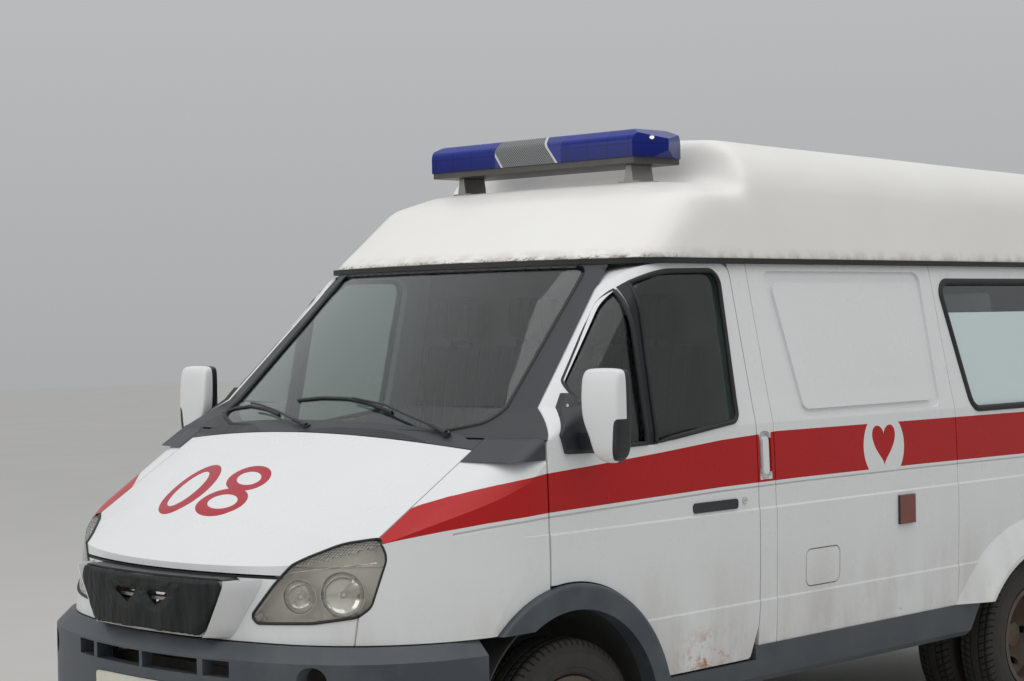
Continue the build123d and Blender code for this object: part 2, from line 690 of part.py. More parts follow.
# Dark lower trims: wheel flares and sills
flare_disc = arch(FRONT_ARCH, FLARE_W, FLARE_IN_X, HALF_WIDTH + FLARE_PROUD)
flare_ring = flare_disc - arch(FRONT_ARCH, 0, 900, FAR)
flare_rim = fillet(flare_disc.edges().filter_by(GeomType.CIRCLE).sort_by(Axis.X)[-1:], 16)
flare = (flare_rim & flare_ring) - block((0, -2400, -300), (FAR, -1735, BUMPER_TOP_Z + 3))
flare -= block((0, -1800, -300), (FAR, -1000, BODY_LOW_Z + 8))
sill_front_y = FRONT_ARCH[0] + math.sqrt((FRONT_ARCH[2] + FLARE_W) ** 2 - (460 - FRONT_ARCH[1]) ** 2) - 30
sill_section = [
    (905, BODY_LOW_Z + 8), (948, BODY_LOW_Z + 8), (968, 430), (972, 470), (972, PANEL_LOW_Z - SEAT_GAP),
    (905, PANEL_LOW_Z - SEAT_GAP),
]
sill = along_y(sill_section, sill_front_y, REAR_AXLE_Y - 300)
sill -= arch(FRONT_ARCH, FLARE_W - 1, 0, FAR)
sill -= arch(REAR_ARCH, 0, 0, FAR)
sill -= block((0, -1500, DOOR_LOW_Z - 5), (FAR, DOOR_SILL_REAR_Y + 22, 700))
rear_sill = along_y(sill_section, REAR_AXLE_Y + 300, 2560) - arch(REAR_ARCH, 0, 0, FAR)
save("lower_trims", *both(flare), *both(sill), *both(rear_sill))

# Side panels: pillar, front field, rear field with its window, and the rear corner
side_region = block((0, DOOR_REAR_Y - 260, PANEL_LOW_Z), (FAR, REAR_Y, GUTTER_Z - 1))
rear_door_hole = along_y(
    [
        (-REAR_DOOR_HALF - 3, REAR_DOOR_LOW_Z - 3), (REAR_DOOR_HALF + 3, REAR_DOOR_LOW_Z - 3),
        (REAR_DOOR_HALF + 3, BELT_Z), (REAR_DOOR_TOP_HALF + 3, REAR_DOOR_TOP_Z + 3),
        (-REAR_DOOR_TOP_HALF - 3, REAR_DOOR_TOP_Z + 3), (-REAR_DOOR_HALF - 3, BELT_Z),
    ],
    2500, 2900, [30, 30, 60, 40, 40, 60],
)
SIDE_GLASS = [
    (SIDE_GLASS_REAR_Y, SIDE_GLASS_LOW_Z), (SIDE_GLASS_REAR_Y - 20, SIDE_GLASS_TOP_Z),
    (SIDE_GLASS_FRONT_TOP_Y, SIDE_GLASS_TOP_Z), (SIDE_GLASS_FRONT_LOW_Y, SIDE_GLASS_LOW_Z),
]
side_glass_cut = along_x(SIDE_GLASS, 0, FAR, SIDE_GLASS_R)
rear_flare_cone = Pos((REAR_FLARE_X + 900) / 2, REAR_ARCH[0], REAR_ARCH[1]) * Rot(0, 90, 0) * Cone(
    REAR_ARCH[2] + REAR_FLARE_W * 2.6, REAR_ARCH[2] + 18, REAR_FLARE_X - 900
)
rear_flare = rear_flare_cone - arch(REAR_ARCH, 0, 0, FAR + 100)
rear_flare = rear_flare & block((960, 500, PANEL_LOW_Z), (FAR, 1900, 900))
side_body = (shell & side_region) - along_x(door_outline(SHUT_GAP / 2), 0, FAR, DOOR_RADII)
side_body = side_body & block((0, DOOR_REAR_Y - 5, 0), (FAR, REAR_Y, UP))
side_body = side_body - rear_door_hole - side_glass_cut + (rear_flare - lining)
side_body -= arch(REAR_ARCH, 0, 0, FAR + 100)
side_body -= (skin - body(HANDLE_DEPTH)) & along_x(HANDLE_POCKET, 800, FAR, 26)
side_body += (body(-6) - body(6)) & along_x(HANDLE_PULL, 800, FAR, 14)
for low in (HANDLE_PULL[0][1] + 2, HANDLE_PULL[2][1] - 20):
    side_body += (body(2) - body(HANDLE_DEPTH + 2)) & block(
        (800, HANDLE_PULL[0][0] + 4, low), (FAR, HANDLE_PULL[1][0] - 4, low + 18)
    )
skin_layer = skin - body(FIELD_DEPTH)
seam_layer = skin - body(4)
side_left = side_body - (
    skin_layer
    & (along_x(FIELD_OUT, 0, FAR, 40) - along_x(FIELD_IN, 0, FAR, 34))
)
for y in (PILLAR_REAR_Y, PANEL_SEAM_Y):
    side_left -= seam_layer & block((800, y - SEAM_W / 2, PANEL_LOW_Z), (FAR, y + SEAM_W / 2, GUTTER_Z))
flap_cut = along_x(
    [(FLAP_Y[0], FLAP_Z[0]), (FLAP_Y[1], FLAP_Z[0]), (FLAP_Y[1], FLAP_Z[1]), (FLAP_Y[0], FLAP_Z[1])],
    900, FAR, FLAP_R,
)
flap_hole = along_x(
    [
        (FLAP_Y[0] - FLAP_GAP, FLAP_Z[0] - FLAP_GAP), (FLAP_Y[1] + FLAP_GAP, FLAP_Z[0] - FLAP_GAP),
        (FLAP_Y[1] + FLAP_GAP, FLAP_Z[1] + FLAP_GAP), (FLAP_Y[0] - FLAP_GAP, FLAP_Z[1] + FLAP_GAP),
    ],
    900, FAR, FLAP_R + FLAP_GAP,
)
side_left -= (skin - body(FLAP_T + 0.3)) & flap_hole
save("fuel_flap", (skin - body(FLAP_T)) & flap_cut)
tail_lamp_cut = along_y([(888, 790), (960, 790), (960, 1110), (888, 1110)], REAR_FACE_Y - 40, REAR_Y)
tail_lamp_hole = along_y(
    [(886, 788), (962, 788), (962, 1112), (886, 1112)], REAR_FACE_Y - 40 - SEAT_GAP, REAR_Y
)
tail_lamp = skin & tail_lamp_cut
side_left -= tail_lamp_hole
reflector_left = block((HALF_WIDTH - 8, 172, 912), (HALF_WIDTH + 8, 278, 1026)) - skin
save("marker_lamps", *both(tail_lamp), *both(reflector_left))
save("side_panel_left", side_left)
slide_cut = along_x(
    [
        (SLIDE_FRONT_Y, SLIDE_LOW_Z), (PANEL_SEAM_Y, SLIDE_LOW_Z), (PANEL_SEAM_Y, SLIDE_TOP_Z),
        (SLIDE_FRONT_Y, SLIDE_TOP_Z),
    ],
    0, FAR, 50,
)
slide_hole = along_x(
    [
        (SLIDE_FRONT_Y - SHUT_GAP, SLIDE_LOW_Z - SHUT_GAP), (PANEL_SEAM_Y + SHUT_GAP, SLIDE_LOW_Z - SHUT_GAP),
        (PANEL_SEAM_Y + SHUT_GAP, SLIDE_TOP_Z + SHUT_GAP), (SLIDE_FRONT_Y - SHUT_GAP, SLIDE_TOP_Z + SHUT_GAP),
    ],
    0, FAR, 55,
)
slide_glass_cut = along_x(SLIDE_GLASS, 0, FAR, SIDE_GLASS_R)
side_right = side_body - slide_hole - tail_lamp_hole
save("side_panel_right", mirror(side_right, about=Plane.YZ))
slide = (shell & block((0, -700, 500), (FAR, 700, GUTTER_Z)) & slide_cut) - slide_glass_cut
save("sliding_door", mirror(slide, about=Plane.YZ))
side_pane = glass_layer & side_glass_cut
slide_pane = glass_layer & slide_glass_cut
save("side_windows", *both(side_pane), mirror(slide_pane, about=Plane.YZ))

# Rear doors with their windows
rear_outline = [
    (SHUT_GAP / 2, REAR_DOOR_LOW_Z), (REAR_DOOR_HALF, REAR_DOOR_LOW_Z), (REAR_DOOR_HALF, BELT_Z),
    (REAR_DOOR_TOP_HALF, REAR_DOOR_TOP_Z), (SHUT_GAP / 2, REAR_DOOR_TOP_Z),
]
rear_glass_cut = along_y(
    [
        (REAR_GLASS_IN_X, REAR_GLASS_LOW_Z), (REAR_GLASS_OUT_X, REAR_GLASS_LOW_Z),
        (REAR_GLASS_OUT_X - 40, REAR_GLASS_TOP_Z), (REAR_GLASS_IN_X, REAR_GLASS_TOP_Z),
    ],
    2500, 2900, 60,
)
rear_door = (shell & along_y(rear_outline, 2600, 2900, [8, 26, 56, 36, 8])) - rear_glass_cut
rear_pane = glass_layer & rear_glass_cut & block((0, 2600, 0), (FAR, 2900, UP))
for name, door_piece, pane in zip(("left", "right"), both(rear_door), both(rear_pane)):
    save(f"door_rear_{name}", door_piece)
    save(f"glass_rear_{name}", pane)

# Roof cap: a hollow moulded shell, low over the cab and stepped up behind the light bar


def cap_front(inset):
    """Low tier over the cab, from the gutter to the shelf."""
    foot_front = CAB_PLANS[2][2] - 12
    plans = [
        (GUTTER_Z, CAP_FOOT_HALF, foot_front, 2150, 170),
        (CAP_CREASE_Z, CAP_CREASE_HALF, foot_front + CAP_RAKE * (CAP_CREASE_Z - GUTTER_Z), 4000, 190),
        (CAP_SHELF_Z, CAP_SHELF_HALF, CAP_SHELF_Y, 6000, 150),
    ]
    faces = [
        plan_face(
            z - (inset if z > GUTTER_Z else 0), half - inset, front + inset * 1.75, arc_r - inset,
            corner_r - inset, 0, 5,
        )
        for z, half, front, arc_r, corner_r in plans
    ]
    rear_y = CAP_STEP_Y + inset + 1
    return loft(faces, ruled=True) & block((-FAR, -2000, GUTTER_Z - 1), (FAR, rear_y, UP))


def cap_rear(inset):
    """High tier behind the step, tapering down to the rear."""
    sections = []
    for y, crown, shoulder_x, shoulder_z, crease_z in CAP_SECTIONS:
        end_y = y - inset if y > 0 else y
        edge = (shoulder_x - inset / 2, shoulder_z - inset)
        crease = (CAP_CREASE_HALF - inset, crease_z)
        foot = (CAP_FOOT_HALF - inset, GUTTER_Z)
        bow = ((edge[0] + crease[0]) / 2 + CAP_BOW, (edge[1] + crease[1]) / 2 + CAP_BOW)
        edges = [
            Line((-foot[0], foot[1]), foot),
            Line(foot, crease),
            ThreePointArc(crease, bow, edge),
            ThreePointArc(edge, (0, crown - inset), (-edge[0], edge[1])),
            ThreePointArc((-edge[0], edge[1]), (-bow[0], bow[1]), (-crease[0], crease[1])),
            Line((-crease[0], crease[1]), (-foot[0], foot[1])),
        ]
        sections.append(FRONT_VIEW.offset(-end_y) * make_face(edges))
    step_y = CAP_STEP_Y + inset * 1.1
    step = along_x(
        [
            (-1000, CAP_SHELF_Z - inset), (step_y, CAP_SHELF_Z - inset),
            (step_y + CAP_STEP_RUN, UP), (-1000, UP),
        ],
        -FAR, FAR,
    )
    tier = loft(sections, ruled=True) & block((-FAR, CAP_STEP_Y + inset, GUTTER_Z - 1), (FAR, REAR_Y, UP))
    return tier - step


cap = (cap_front(0) + cap_rear(0)) - (cap_front(CAP_T) + cap_rear(CAP_T))
hatch = along_z([(-330, 500), (330, 500), (330, 1280), (-330, 1280)], 2330, 2432, 60)
cap += hatch - cap_rear(CAP_T / 2)
cap -= block((-FAR, -2000, 0), (FAR, REAR_Y, GUTTER_Z + 6))
save("roof_cap", cap)

# Drip rail: a black rubber strip in the gutter all round the cap's foot
rail_plans = [
    plan_face(
        GUTTER_Z - 14, half, CAB_PLANS[2][2] - 18 + grow * 1.5, 2150, 176 - grow, REAR_FACE_Y + 2 - grow,
        REAR_CORNER_R - grow,
    )
    for grow, half in ((0, CAP_FOOT_HALF + 5), (22, CAP_FOOT_HALF - 17))
]
drip = (extrude(rail_plans[0], 20 - SEAT_GAP) - extrude(rail_plans[1], 20 - SEAT_GAP)) - skin
save("drip_rails", drip)

# Light bar: a grey foot rail with a clear middle, and a blue dome with a pointed end at each side
bar_front_y = BAR_Y - BAR_DEPTH / 2
bar_rear_y = BAR_Y + BAR_DEPTH / 2
BAR_SHOULDER = 46
bar_base = block(
    (-BAR_HALF + BAR_END, bar_front_y + 8, BAR_LOW_Z),
    (BAR_HALF - BAR_END, bar_rear_y - 8, BAR_LOW_Z + BAR_BASE_H),
)
BAR_MID = 178
bar_profile = [
    (bar_front_y, BAR_LOW_Z + BAR_BASE_H), (bar_rear_y, BAR_LOW_Z + BAR_BASE_H),
    (bar_rear_y, BAR_TOP_Z - 34), (bar_rear_y - BAR_SHOULDER, BAR_TOP_Z),
    (bar_front_y + BAR_SHOULDER, BAR_TOP_Z), (bar_front_y, BAR_TOP_Z - 34),
]
BAR_RADII = [1, 1, 34, 34, 34, 34]
bar_base += along_x(bar_profile, -BAR_MID, BAR_MID, BAR_RADII)
shelf_z = CAP_SHELF_Z + SEAT_GAP
for x in (-BAR_FOOT_X, BAR_FOOT_X):
    bar_base += along_y(
        [
            (x - 52, shelf_z), (x + 52, shelf_z), (x + 52, shelf_z + 6), (x + 22, shelf_z + 6),
            (x + 12, BAR_LOW_Z + 1), (x - 12, BAR_LOW_Z + 1), (x - 22, shelf_z + 6), (x - 52, shelf_z + 6),
        ],
        BAR_Y - 60, BAR_Y + 60,
    )
save("light_bar_base", bar_base)
dome_x = BAR_MID + SEAT_GAP
dome_plan = [
    (dome_x, bar_front_y - 1), (BAR_HALF - BAR_END, bar_front_y - 1), (BAR_HALF, BAR_Y),
    (BAR_HALF - BAR_END, bar_rear_y + 1), (dome_x, bar_rear_y + 1),
]
dome = along_x(bar_profile, dome_x, BAR_HALF, BAR_RADII) & along_z(dome_plan, 2300, 2500)
for corner, reach, height in ((BAR_TOP_Z, 90, -40), (BAR_LOW_Z, 45, 50)):
    dome -= along_y(
        [(BAR_HALF - reach, corner), (BAR_HALF + 1, corner + height), (BAR_HALF + 1, corner)], -1200, -400
    )
save("light_bar_domes", *both(dome))

# Ladder chassis: two channel rails with five crossmembers
rail = block(
    (RAIL_X - RAIL_W / 2, RAIL_FRONT_Y, RAIL_LOW_Z), (RAIL_X + RAIL_W / 2, RAIL_REAR_Y, RAIL_LOW_Z + RAIL_H)
)
rail -= block(
    (RAIL_X - RAIL_W / 2 - 1, RAIL_FRONT_Y - 1, RAIL_LOW_Z + RAIL_T),
    (RAIL_X + RAIL_W / 2 - RAIL_T, RAIL_REAR_Y + 1, RAIL_LOW_Z + RAIL_H - RAIL_T),
)
frame = rail + mirror(rail, about=Plane.YZ)
cross_x = RAIL_X + RAIL_W / 2 - RAIL_T
for y in (RAIL_FRONT_Y + 30, -1150, -200, 750, 1700, RAIL_REAR_Y - 30):
    low_z = RAIL_LOW_Z + RAIL_T
    frame += block((-cross_x, y - 5, low_z), (cross_x, y + 5, RAIL_LOW_Z + RAIL_H - RAIL_T))
    frame += block((-cross_x, y - 30, low_z), (cross_x, y + 30, low_z + 8))
for y in (-1100, -200, 750, 1700, 2500):
    for x in (-RAIL_X, RAIL_X):
        frame += block((x - 25, y - 35, RAIL_LOW_Z + RAIL_H - 2), (x + 25, y + 35, FLOOR_LOW_Z - SEAT_GAP))
TOW_HOLES = (120, 50)
frame += block((-140, RAIL_REAR_Y - 40, RAIL_LOW_Z), (140, RAIL_REAR_Y, RAIL_LOW_Z + 84))
for x in (-TOW_HOLES[0] / 2, TOW_HOLES[0] / 2):
    for z in (RAIL_LOW_Z + 25, RAIL_LOW_Z + 25 + TOW_HOLES[1]):
        frame -= Pos(x, RAIL_REAR_Y - 20, z) * Rot(90, 0, 0) * Cylinder(6.5, 60)
TOW_EYE_X = 380
for x in (-TOW_EYE_X, TOW_EYE_X):
    eye = block((x - 30, RAIL_FRONT_Y - 60, 545), (x + 30, RAIL_FRONT_Y + 40, 563))
    frame += eye - Pos(x, RAIL_FRONT_Y - 30, 554) * Cylinder(15, 60)
save("chassis_frame", frame)

# Leaf springs: two under each axle seat, as stacks with three steps


def leaf_spring(x, y, z, half, sag):
    """One leaf pack, bowed down in the middle and hung from the rail by its ends."""
    radius = (half * half + sag * sag) / (2 * sag)
    pack = None
    for index, share in enumerate((1.0, 0.72, 0.45)):
        reach = half * share
        low = z - 11 * (index + 1)
        edge = low + radius - math.sqrt(radius**2 - reach**2)
        face = make_face(
            [
                ThreePointArc((y - reach, edge), (y, low), (y + reach, edge)),
                Line((y + reach, edge), (y + reach, edge + 11)),
                ThreePointArc((y + reach, edge + 11), (y, low + 11), (y - reach, edge + 11)),
                Line((y - reach, edge + 11), (y - reach, edge)),
            ]
        )
        leaf = extrude(SIDE_VIEW.offset(x - 35) * face, 70)
        pack = leaf if pack is None else pack + leaf
    for side in (-1, 1):
        end_z = z - 11 + radius - math.sqrt(radius**2 - half**2)
        pack += round_x(y + side * half, end_z + 6, 26, x - 35, x + 35)
        pack += block((x - 30, y + side * half - 18, end_z), (x + 30, y + side * half + 18, RAIL_LOW_Z - 0.3))
    return pack


FRONT_SPRING_Z = 372
REAR_SPRING_Z = 425
springs = []
for y, z, half, sag in ((FRONT_AXLE_Y, FRONT_SPRING_Z, 560, 60), (REAR_AXLE_Y, REAR_SPRING_Z, 640, 50)):
    springs += both(leaf_spring(RAIL_X, y, z, half, sag))
save("leaf_springs", *springs)

# Axles: a dropped beam in front, a tube with its drive bowl at the rear
beam = along_y(
    [
        (-KINGPIN_X - 26, 318), (-KINGPIN_X + 70, 318), (-560, 288), (560, 288), (KINGPIN_X - 70, 318),
        (KINGPIN_X + 26, 318), (KINGPIN_X + 26, 366), (KINGPIN_X - 70, 366), (560, 338.5), (-560, 338.5),
        (-KINGPIN_X + 70, 366), (-KINGPIN_X - 26, 366),
    ],
    FRONT_AXLE_Y - 28, FRONT_AXLE_Y + 28,
)
for side in (1, -1):
    beam -= Pos(side * KINGPIN_X, FRONT_AXLE_Y, 340) * Cylinder(14.05, 100)
REAR_TUBE_END = 562
BOWL_R = 145
BOWL_DEPTH = 230
tube = round_x(REAR_AXLE_Y, TYRE_R, 42, -REAR_TUBE_END, REAR_TUBE_END)
bowl = Pos(0, REAR_AXLE_Y, TYRE_R) * Rot(90, 0, 0) * Cylinder(BOWL_R, BOWL_DEPTH)
tube += fillet(bowl.edges().filter_by(GeomType.CIRCLE), BOWL_DEPTH / 3)
seat_z = REAR_SPRING_Z - 33.3
for x in (-RAIL_X, RAIL_X):
    tube += block((x - 40, REAR_AXLE_Y - 60, TYRE_R + 20), (x + 40, REAR_AXLE_Y + 60, seat_z))
for side in (1, -1):
    ends = sorted((side * (REAR_TUBE_END - 40), side * REAR_SPINDLE_END))
    tube += round_x(REAR_AXLE_Y, TYRE_R, SPINDLE_R, *ends)
save("front_axle", beam)
save("rear_axle", tube)

# Steering knuckles: a fork over each beam end, its kingpin and the wheel spindle
knuckle = block((KINGPIN_X - 24, FRONT_AXLE_Y - 26, 372), (KINGPIN_X + 50, FRONT_AXLE_Y + 26, 398))
knuckle += block((KINGPIN_X - 24, FRONT_AXLE_Y - 26, 286), (KINGPIN_X + 50, FRONT_AXLE_Y + 26, 312))
knuckle += block((KINGPIN_X + 44, FRONT_AXLE_Y - 26, 286), (KINGPIN_X + 62, FRONT_AXLE_Y + 26, 398))
knuckle += Pos(KINGPIN_X, FRONT_AXLE_Y, 342) * Cylinder(14, 110)
knuckle += round_x(FRONT_AXLE_Y, TYRE_R, SPINDLE_R, KINGPIN_X + 40, SPINDLE_END)
for name, piece in zip(("left", "right"), both(knuckle)):
    save(f"knuckle_{name}", piece)


def tyre(x):
    """One tyre about its own centre line, with a flat tread and rounded shoulders."""
    half = TYRE_W / 2
    bead = RIM_HALF_W - 15
    section = [
        (-bead, FLANGE_R + 1), (-half + 8, FLANGE_R + 8), (-half, FLANGE_R + 50), (-half + 5, TYRE_R - 38),
        (-half + 26, TYRE_R - 3), (-half + 60, TYRE_R), (half - 60, TYRE_R), (half - 26, TYRE_R - 3),
        (half - 5, TYRE_R - 38), (half, FLANGE_R + 50), (half - 8, FLANGE_R + 8), (bead, FLANGE_R + 1),
        (bead, RIM_R + 0.5), (-bead, RIM_R + 0.5),
    ]
    face = outline(section, [4, 20, 50, 30, 16, 60, 60, 16, 30, 50, 20, 4, 1, 1])
    return Pos(x, 0, 0) * revolve(face, Axis.X)


def disc(x, facing):
    """One pressed disc wheel; facing is +1 where its dish stands out towards +X."""
    rim = [
        (-RIM_HALF_W, FLANGE_R), (-RIM_HALF_W, RIM_R - 6), (-30, 180), (30, 180), (RIM_HALF_W, RIM_R - 6),
        (RIM_HALF_W, FLANGE_R), (RIM_HALF_W - 7, FLANGE_R), (RIM_HALF_W - 12, RIM_R), (34, RIM_R - 1),
        (22, 188), (-22, 188), (-34, RIM_R - 1), (-RIM_HALF_W + 12, RIM_R), (-RIM_HALF_W + 7, FLANGE_R),
    ]
    face_x = DISC_OFFSET
    dish = [
        (24, 184), (44, 184), (face_x - 12, 128), (face_x, 110), (face_x, DISC_BORE_R),
        (face_x - DISC_T, DISC_BORE_R), (face_x - DISC_T, 106), (face_x - 22, 120),
    ]
    wheel = revolve(outline(rim), Axis.X) + revolve(outline(dish), Axis.X)
    for index in range(STUD_COUNT):
        angle = 360 / STUD_COUNT * (index + 0.5)
        wheel -= Rot(angle, 0, 0) * Pos(60, 0, 148) * Rot(0, 90, 0) * Cylinder(17, 120)
    if facing < 0:
        wheel = mirror(wheel, about=Plane.YZ)
    return Pos(x, 0, 0) * wheel


def nuts(x, reach):
    """Ring of wheel nuts standing out from a disc face."""
    ring = []
    for index in range(STUD_COUNT):
        angle = 360 / STUD_COUNT * index
        place = Rot(angle, 0, 0) * Pos(x + reach / 2, 0, STUD_PCD / 2) * Rot(0, 90, 0)
        ring.append(place * Cylinder(14, reach))
    return ring


# Front wheel: disc, hub with its cap, and the brake drum behind
front_face_x = FRONT_TRACK_HALF + DISC_OFFSET
front_rim = disc(FRONT_TRACK_HALF, 1)
front_rim += round_x(0, 0, DISC_BORE_R + 12, front_face_x - 50, front_face_x - DISC_T)
front_rim += round_x(0, 0, DISC_BORE_R - 12, front_face_x - 50, front_face_x + 16)
front_rim += round_x(0, 0, 44, front_face_x + 14, HUB_CAP_X)
front_rim += round_x(0, 0, 46, DRUM_FRONT_X, front_face_x - 48)
front_rim += round_x(0, 0, DRUM_R, DRUM_FRONT_X, DRUM_FRONT_X + 12)
front_rim += round_x(0, 0, DRUM_R, DRUM_FRONT_X - 34, DRUM_FRONT_X + 12) - round_x(
    0, 0, DRUM_R - 12, DRUM_FRONT_X - 35, DRUM_FRONT_X
)
for nut in nuts(front_face_x - 2, 20):
    front_rim += nut
front_rim -= round_x(0, 0, HUB_BORE_R, DRUM_FRONT_X - 60, SPINDLE_END + 0.5)

# Rear wheels: two discs face to face on one hub, with the drum inboard
twin_face_x = (TWIN_INNER_X + TWIN_OUTER_X) / 2
rear_rims = disc(TWIN_OUTER_X, -1) + disc(TWIN_INNER_X, 1)
rear_rims += round_x(0, 0, DISC_BORE_R + 14, twin_face_x - 60, twin_face_x - DISC_T)
rear_rims += round_x(0, 0, DISC_BORE_R - 12, twin_face_x - 60, twin_face_x + 60)
rear_rims += round_x(0, 0, 52, twin_face_x + 58, REAR_HUB_X)
rear_rims += round_x(0, 0, 50, DRUM_REAR_X, twin_face_x - 58)
rear_rims += round_x(0, 0, DRUM_R, DRUM_REAR_X - 40, DRUM_REAR_X + 12) - round_x(
    0, 0, DRUM_R - 12, DRUM_REAR_X - 41, DRUM_REAR_X
)
for nut in nuts(twin_face_x + DISC_T - 2, 26):
    rear_rims += nut
rear_rims -= round_x(0, 0, HUB_BORE_R, DRUM_REAR_X - 60, REAR_SPINDLE_END + 0.5)

front_place = Pos(0, FRONT_AXLE_Y, TYRE_R)
rear_place = Pos(0, REAR_AXLE_Y, TYRE_R)
rear_tyres = [tyre(TWIN_OUTER_X), tyre(TWIN_INNER_X)]
for name, index in (("left", 0), ("right", 1)):
    save(f"tyre_front_{name}", both(front_place * tyre(FRONT_TRACK_HALF))[index])
    save(f"rim_front_{name}", both(front_place * front_rim)[index])
    save(f"tyres_rear_{name}", *[both(rear_place * one)[index] for one in rear_tyres])
    save(f"rims_rear_{name}", both(rear_place * rear_rims)[index])

# Floor: load floor, toe board over the wheels, and a liner round each front wheel
inner = body(WALL + SEAT_GAP)
floor_top = FLOOR_LOW_Z + FLOOR_T
TOE_Y = -1380
floor = inner & block((-FAR, TOE_Y, FLOOR_LOW_Z), (FAR, REAR_FACE_Y, floor_top))
toe_profile = [
    (TOE_Y - SEAT_GAP, FLOOR_LOW_Z), (TOE_Y - SEAT_GAP, floor_top), (-1550, 856),
    (FENDER_REAR_Y + 46, 866), (FENDER_REAR_Y + 46, BELT_Z - 30), (FENDER_REAR_Y + 10, BELT_Z - 30),
    (FENDER_REAR_Y + 10, 834), (-1565, 826), (TOE_Y - 15, FLOOR_LOW_Z),
]
toe_board = inner & along_x(toe_profile, -FAR, FAR)
LINER = (-1715, 365, 425)
LINER_T = 6
LINER_IN_X = 548
liner = arch(LINER, LINER_T, LINER_IN_X, FLARE_IN_X - SEAT_GAP) - arch(LINER, 0, LINER_IN_X + LINER_T, FAR)
liner -= block((0, -2400, -300), (FAR, -1000, 432))
save("floor_pan", floor, toe_board, *both(liner))

# Cab partition with its small window, and the cab's headliner
PARTITION_Y = (-652, -622)
partition = inner & block((-FAR, PARTITION_Y[0], floor_top + SEAT_GAP), (FAR, PARTITION_Y[1], GUTTER_Z))
partition -= block((-300, -700, 1480), (300, -600, 1780))
partition += inner & block((-FAR, -1230, GUTTER_Z - 13), (FAR, PARTITION_Y[0] + 5, GUTTER_Z))
save("cab_partition", partition)

# Rear bumper: a stepped bar on two brackets from the rails
rear_bar = block((-940, REAR_FACE_Y + SEAT_GAP, 425), (940, REAR_Y, 565))
rear_bar = fillet(rear_bar.faces().sort_by(Axis.Y)[-1].edges(), 18)
for x in (-RAIL_X, RAIL_X):
    rear_bar += block((x - 26, RAIL_REAR_Y + SEAT_GAP, 504), (x + 26, REAR_FACE_Y + 4, 540))
save("rear_bumper", rear_bar)

# Wipers: two bowed arms lying low across the glass, from their pivots on the left to their tips
wiper_layer = upper_body(-13) - upper_body(-SEAT_GAP)
WIPER_LINES = [
    [(606, 1366), (598, 1390), (200, 1438), (-240, 1480), (-240, 1468), (200, 1420)],
    [(-88, 1360), (-96, 1384), (-400, 1412), (-745, 1430), (-745, 1418), (-400, 1394)],
]
wipers = [(wiper_layer & along_y(line, -2200, -1200)) - nose(-SEAT_GAP) for line in WIPER_LINES]
save("wipers", *wipers)

# Dashboard with the steering column and wheel
DASH_FRONT_Y = FENDER_REAR_Y + 46 + SEAT_GAP
DASH_PROFILE = [
    (DASH_FRONT_Y, 1000), (-1560, 1000), (-1470, 1130), (-1440, 1270), (-1470, 1330), (-1600, 1342),
    (DASH_FRONT_Y, 1346),
]
dash = body(WALL + 20) & along_x(DASH_PROFILE, -880, 880, [1, 30, 60, 40, 30, 60, 1])
WHEEL_PLACE = (420, -1330, 1290)
WHEEL_TILT = 40
WHEEL_R = 190
COLUMN_L = 340
wheel_place = Pos(*WHEEL_PLACE) * Rot(-WHEEL_TILT, 0, 0)
steering = wheel_place * Torus(WHEEL_R, 15) + wheel_place * Cylinder(48, 40)
for turn in (90, 210, 330):
    steering += wheel_place * Rot(0, 0, turn) * Pos(WHEEL_R / 2, 0, 0) * Box(WHEEL_R - 10, 26, 12)
steering += wheel_place * Pos(0, 0, -COLUMN_L / 2) * Cylinder(26, COLUMN_L)
save("dashboard", dash + steering)

# Seats: driver's seat and a double passenger seat, each on its box
SEAT_TOP_Z = 1100


def seat(low_x, high_x, heads):
    """One seat on its box, with a reclined back and head rests."""
    cushion = along_x(
        [
            (-1230, floor_top + SEAT_GAP), (-700, floor_top + SEAT_GAP), (-668, 1000), (-668, 1640),
            (-740, 1640), (-830, 1130), (-860, SEAT_TOP_Z), (-1240, SEAT_TOP_Z + 16), (-1262, 1020),
        ],
        low_x, high_x, [20, 20, 40, 34, 34, 60, 40, 40, 60],
    )
    for x in heads:
        cushion += fillet(block((x - 130, -752, 1665), (x + 130, -672, 1830)).edges().filter_by(Axis.Y), 40)
        cushion += block((x - 60, -720, 1630), (x - 48, -708, 1670))
        cushion += block((x + 48, -720, 1630), (x + 60, -708, 1670))
    return cushion


save("seats", seat(190, 690, [440]), seat(-760, 60, [-560, -140]))

# Engine: one plain block on a cross member held by the two rails
ENGINE_LOW_Z = 570
rail_in_x = RAIL_X + RAIL_W / 2 - RAIL_T - SEAT_GAP
engine = block((-240, -2340, ENGINE_LOW_Z), (240, -1850, 1040))
engine += block((-rail_in_x, -2160, 556), (rail_in_x, -2060, 600))
save("engine_block", engine)

# Fuel tank beside the left rail, and the exhaust under the crossmembers
tank = block((RAIL_X + RAIL_W / 2 + SEAT_GAP, -520, 400), (820, 240, 610))
tank = fillet(tank.edges().filter_by(Axis.Y), 40)
save("fuel_tank", tank)
PIPE_R = 26
pipe_z = RAIL_LOW_Z + RAIL_T - PIPE_R - SEAT_GAP
pipe_x = -240
pipe = Pos(pipe_x, 370, pipe_z) * Rot(90, 0, 0) * Cylinder(PIPE_R, 4460)
pipe += Pos(pipe_x, 270, pipe_z - 30) * Rot(90, 0, 0) * Cylinder(82, 560)
riser_h = ENGINE_LOW_Z - SEAT_GAP - pipe_z
pipe += Pos(pipe_x + 30, -1860 + PIPE_R, pipe_z + riser_h / 2) * Cylinder(PIPE_R, riser_h)
save("exhaust", pipe)
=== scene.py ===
import math

import bpy
from mathutils import Matrix, Vector
from mathutils import noise as waves


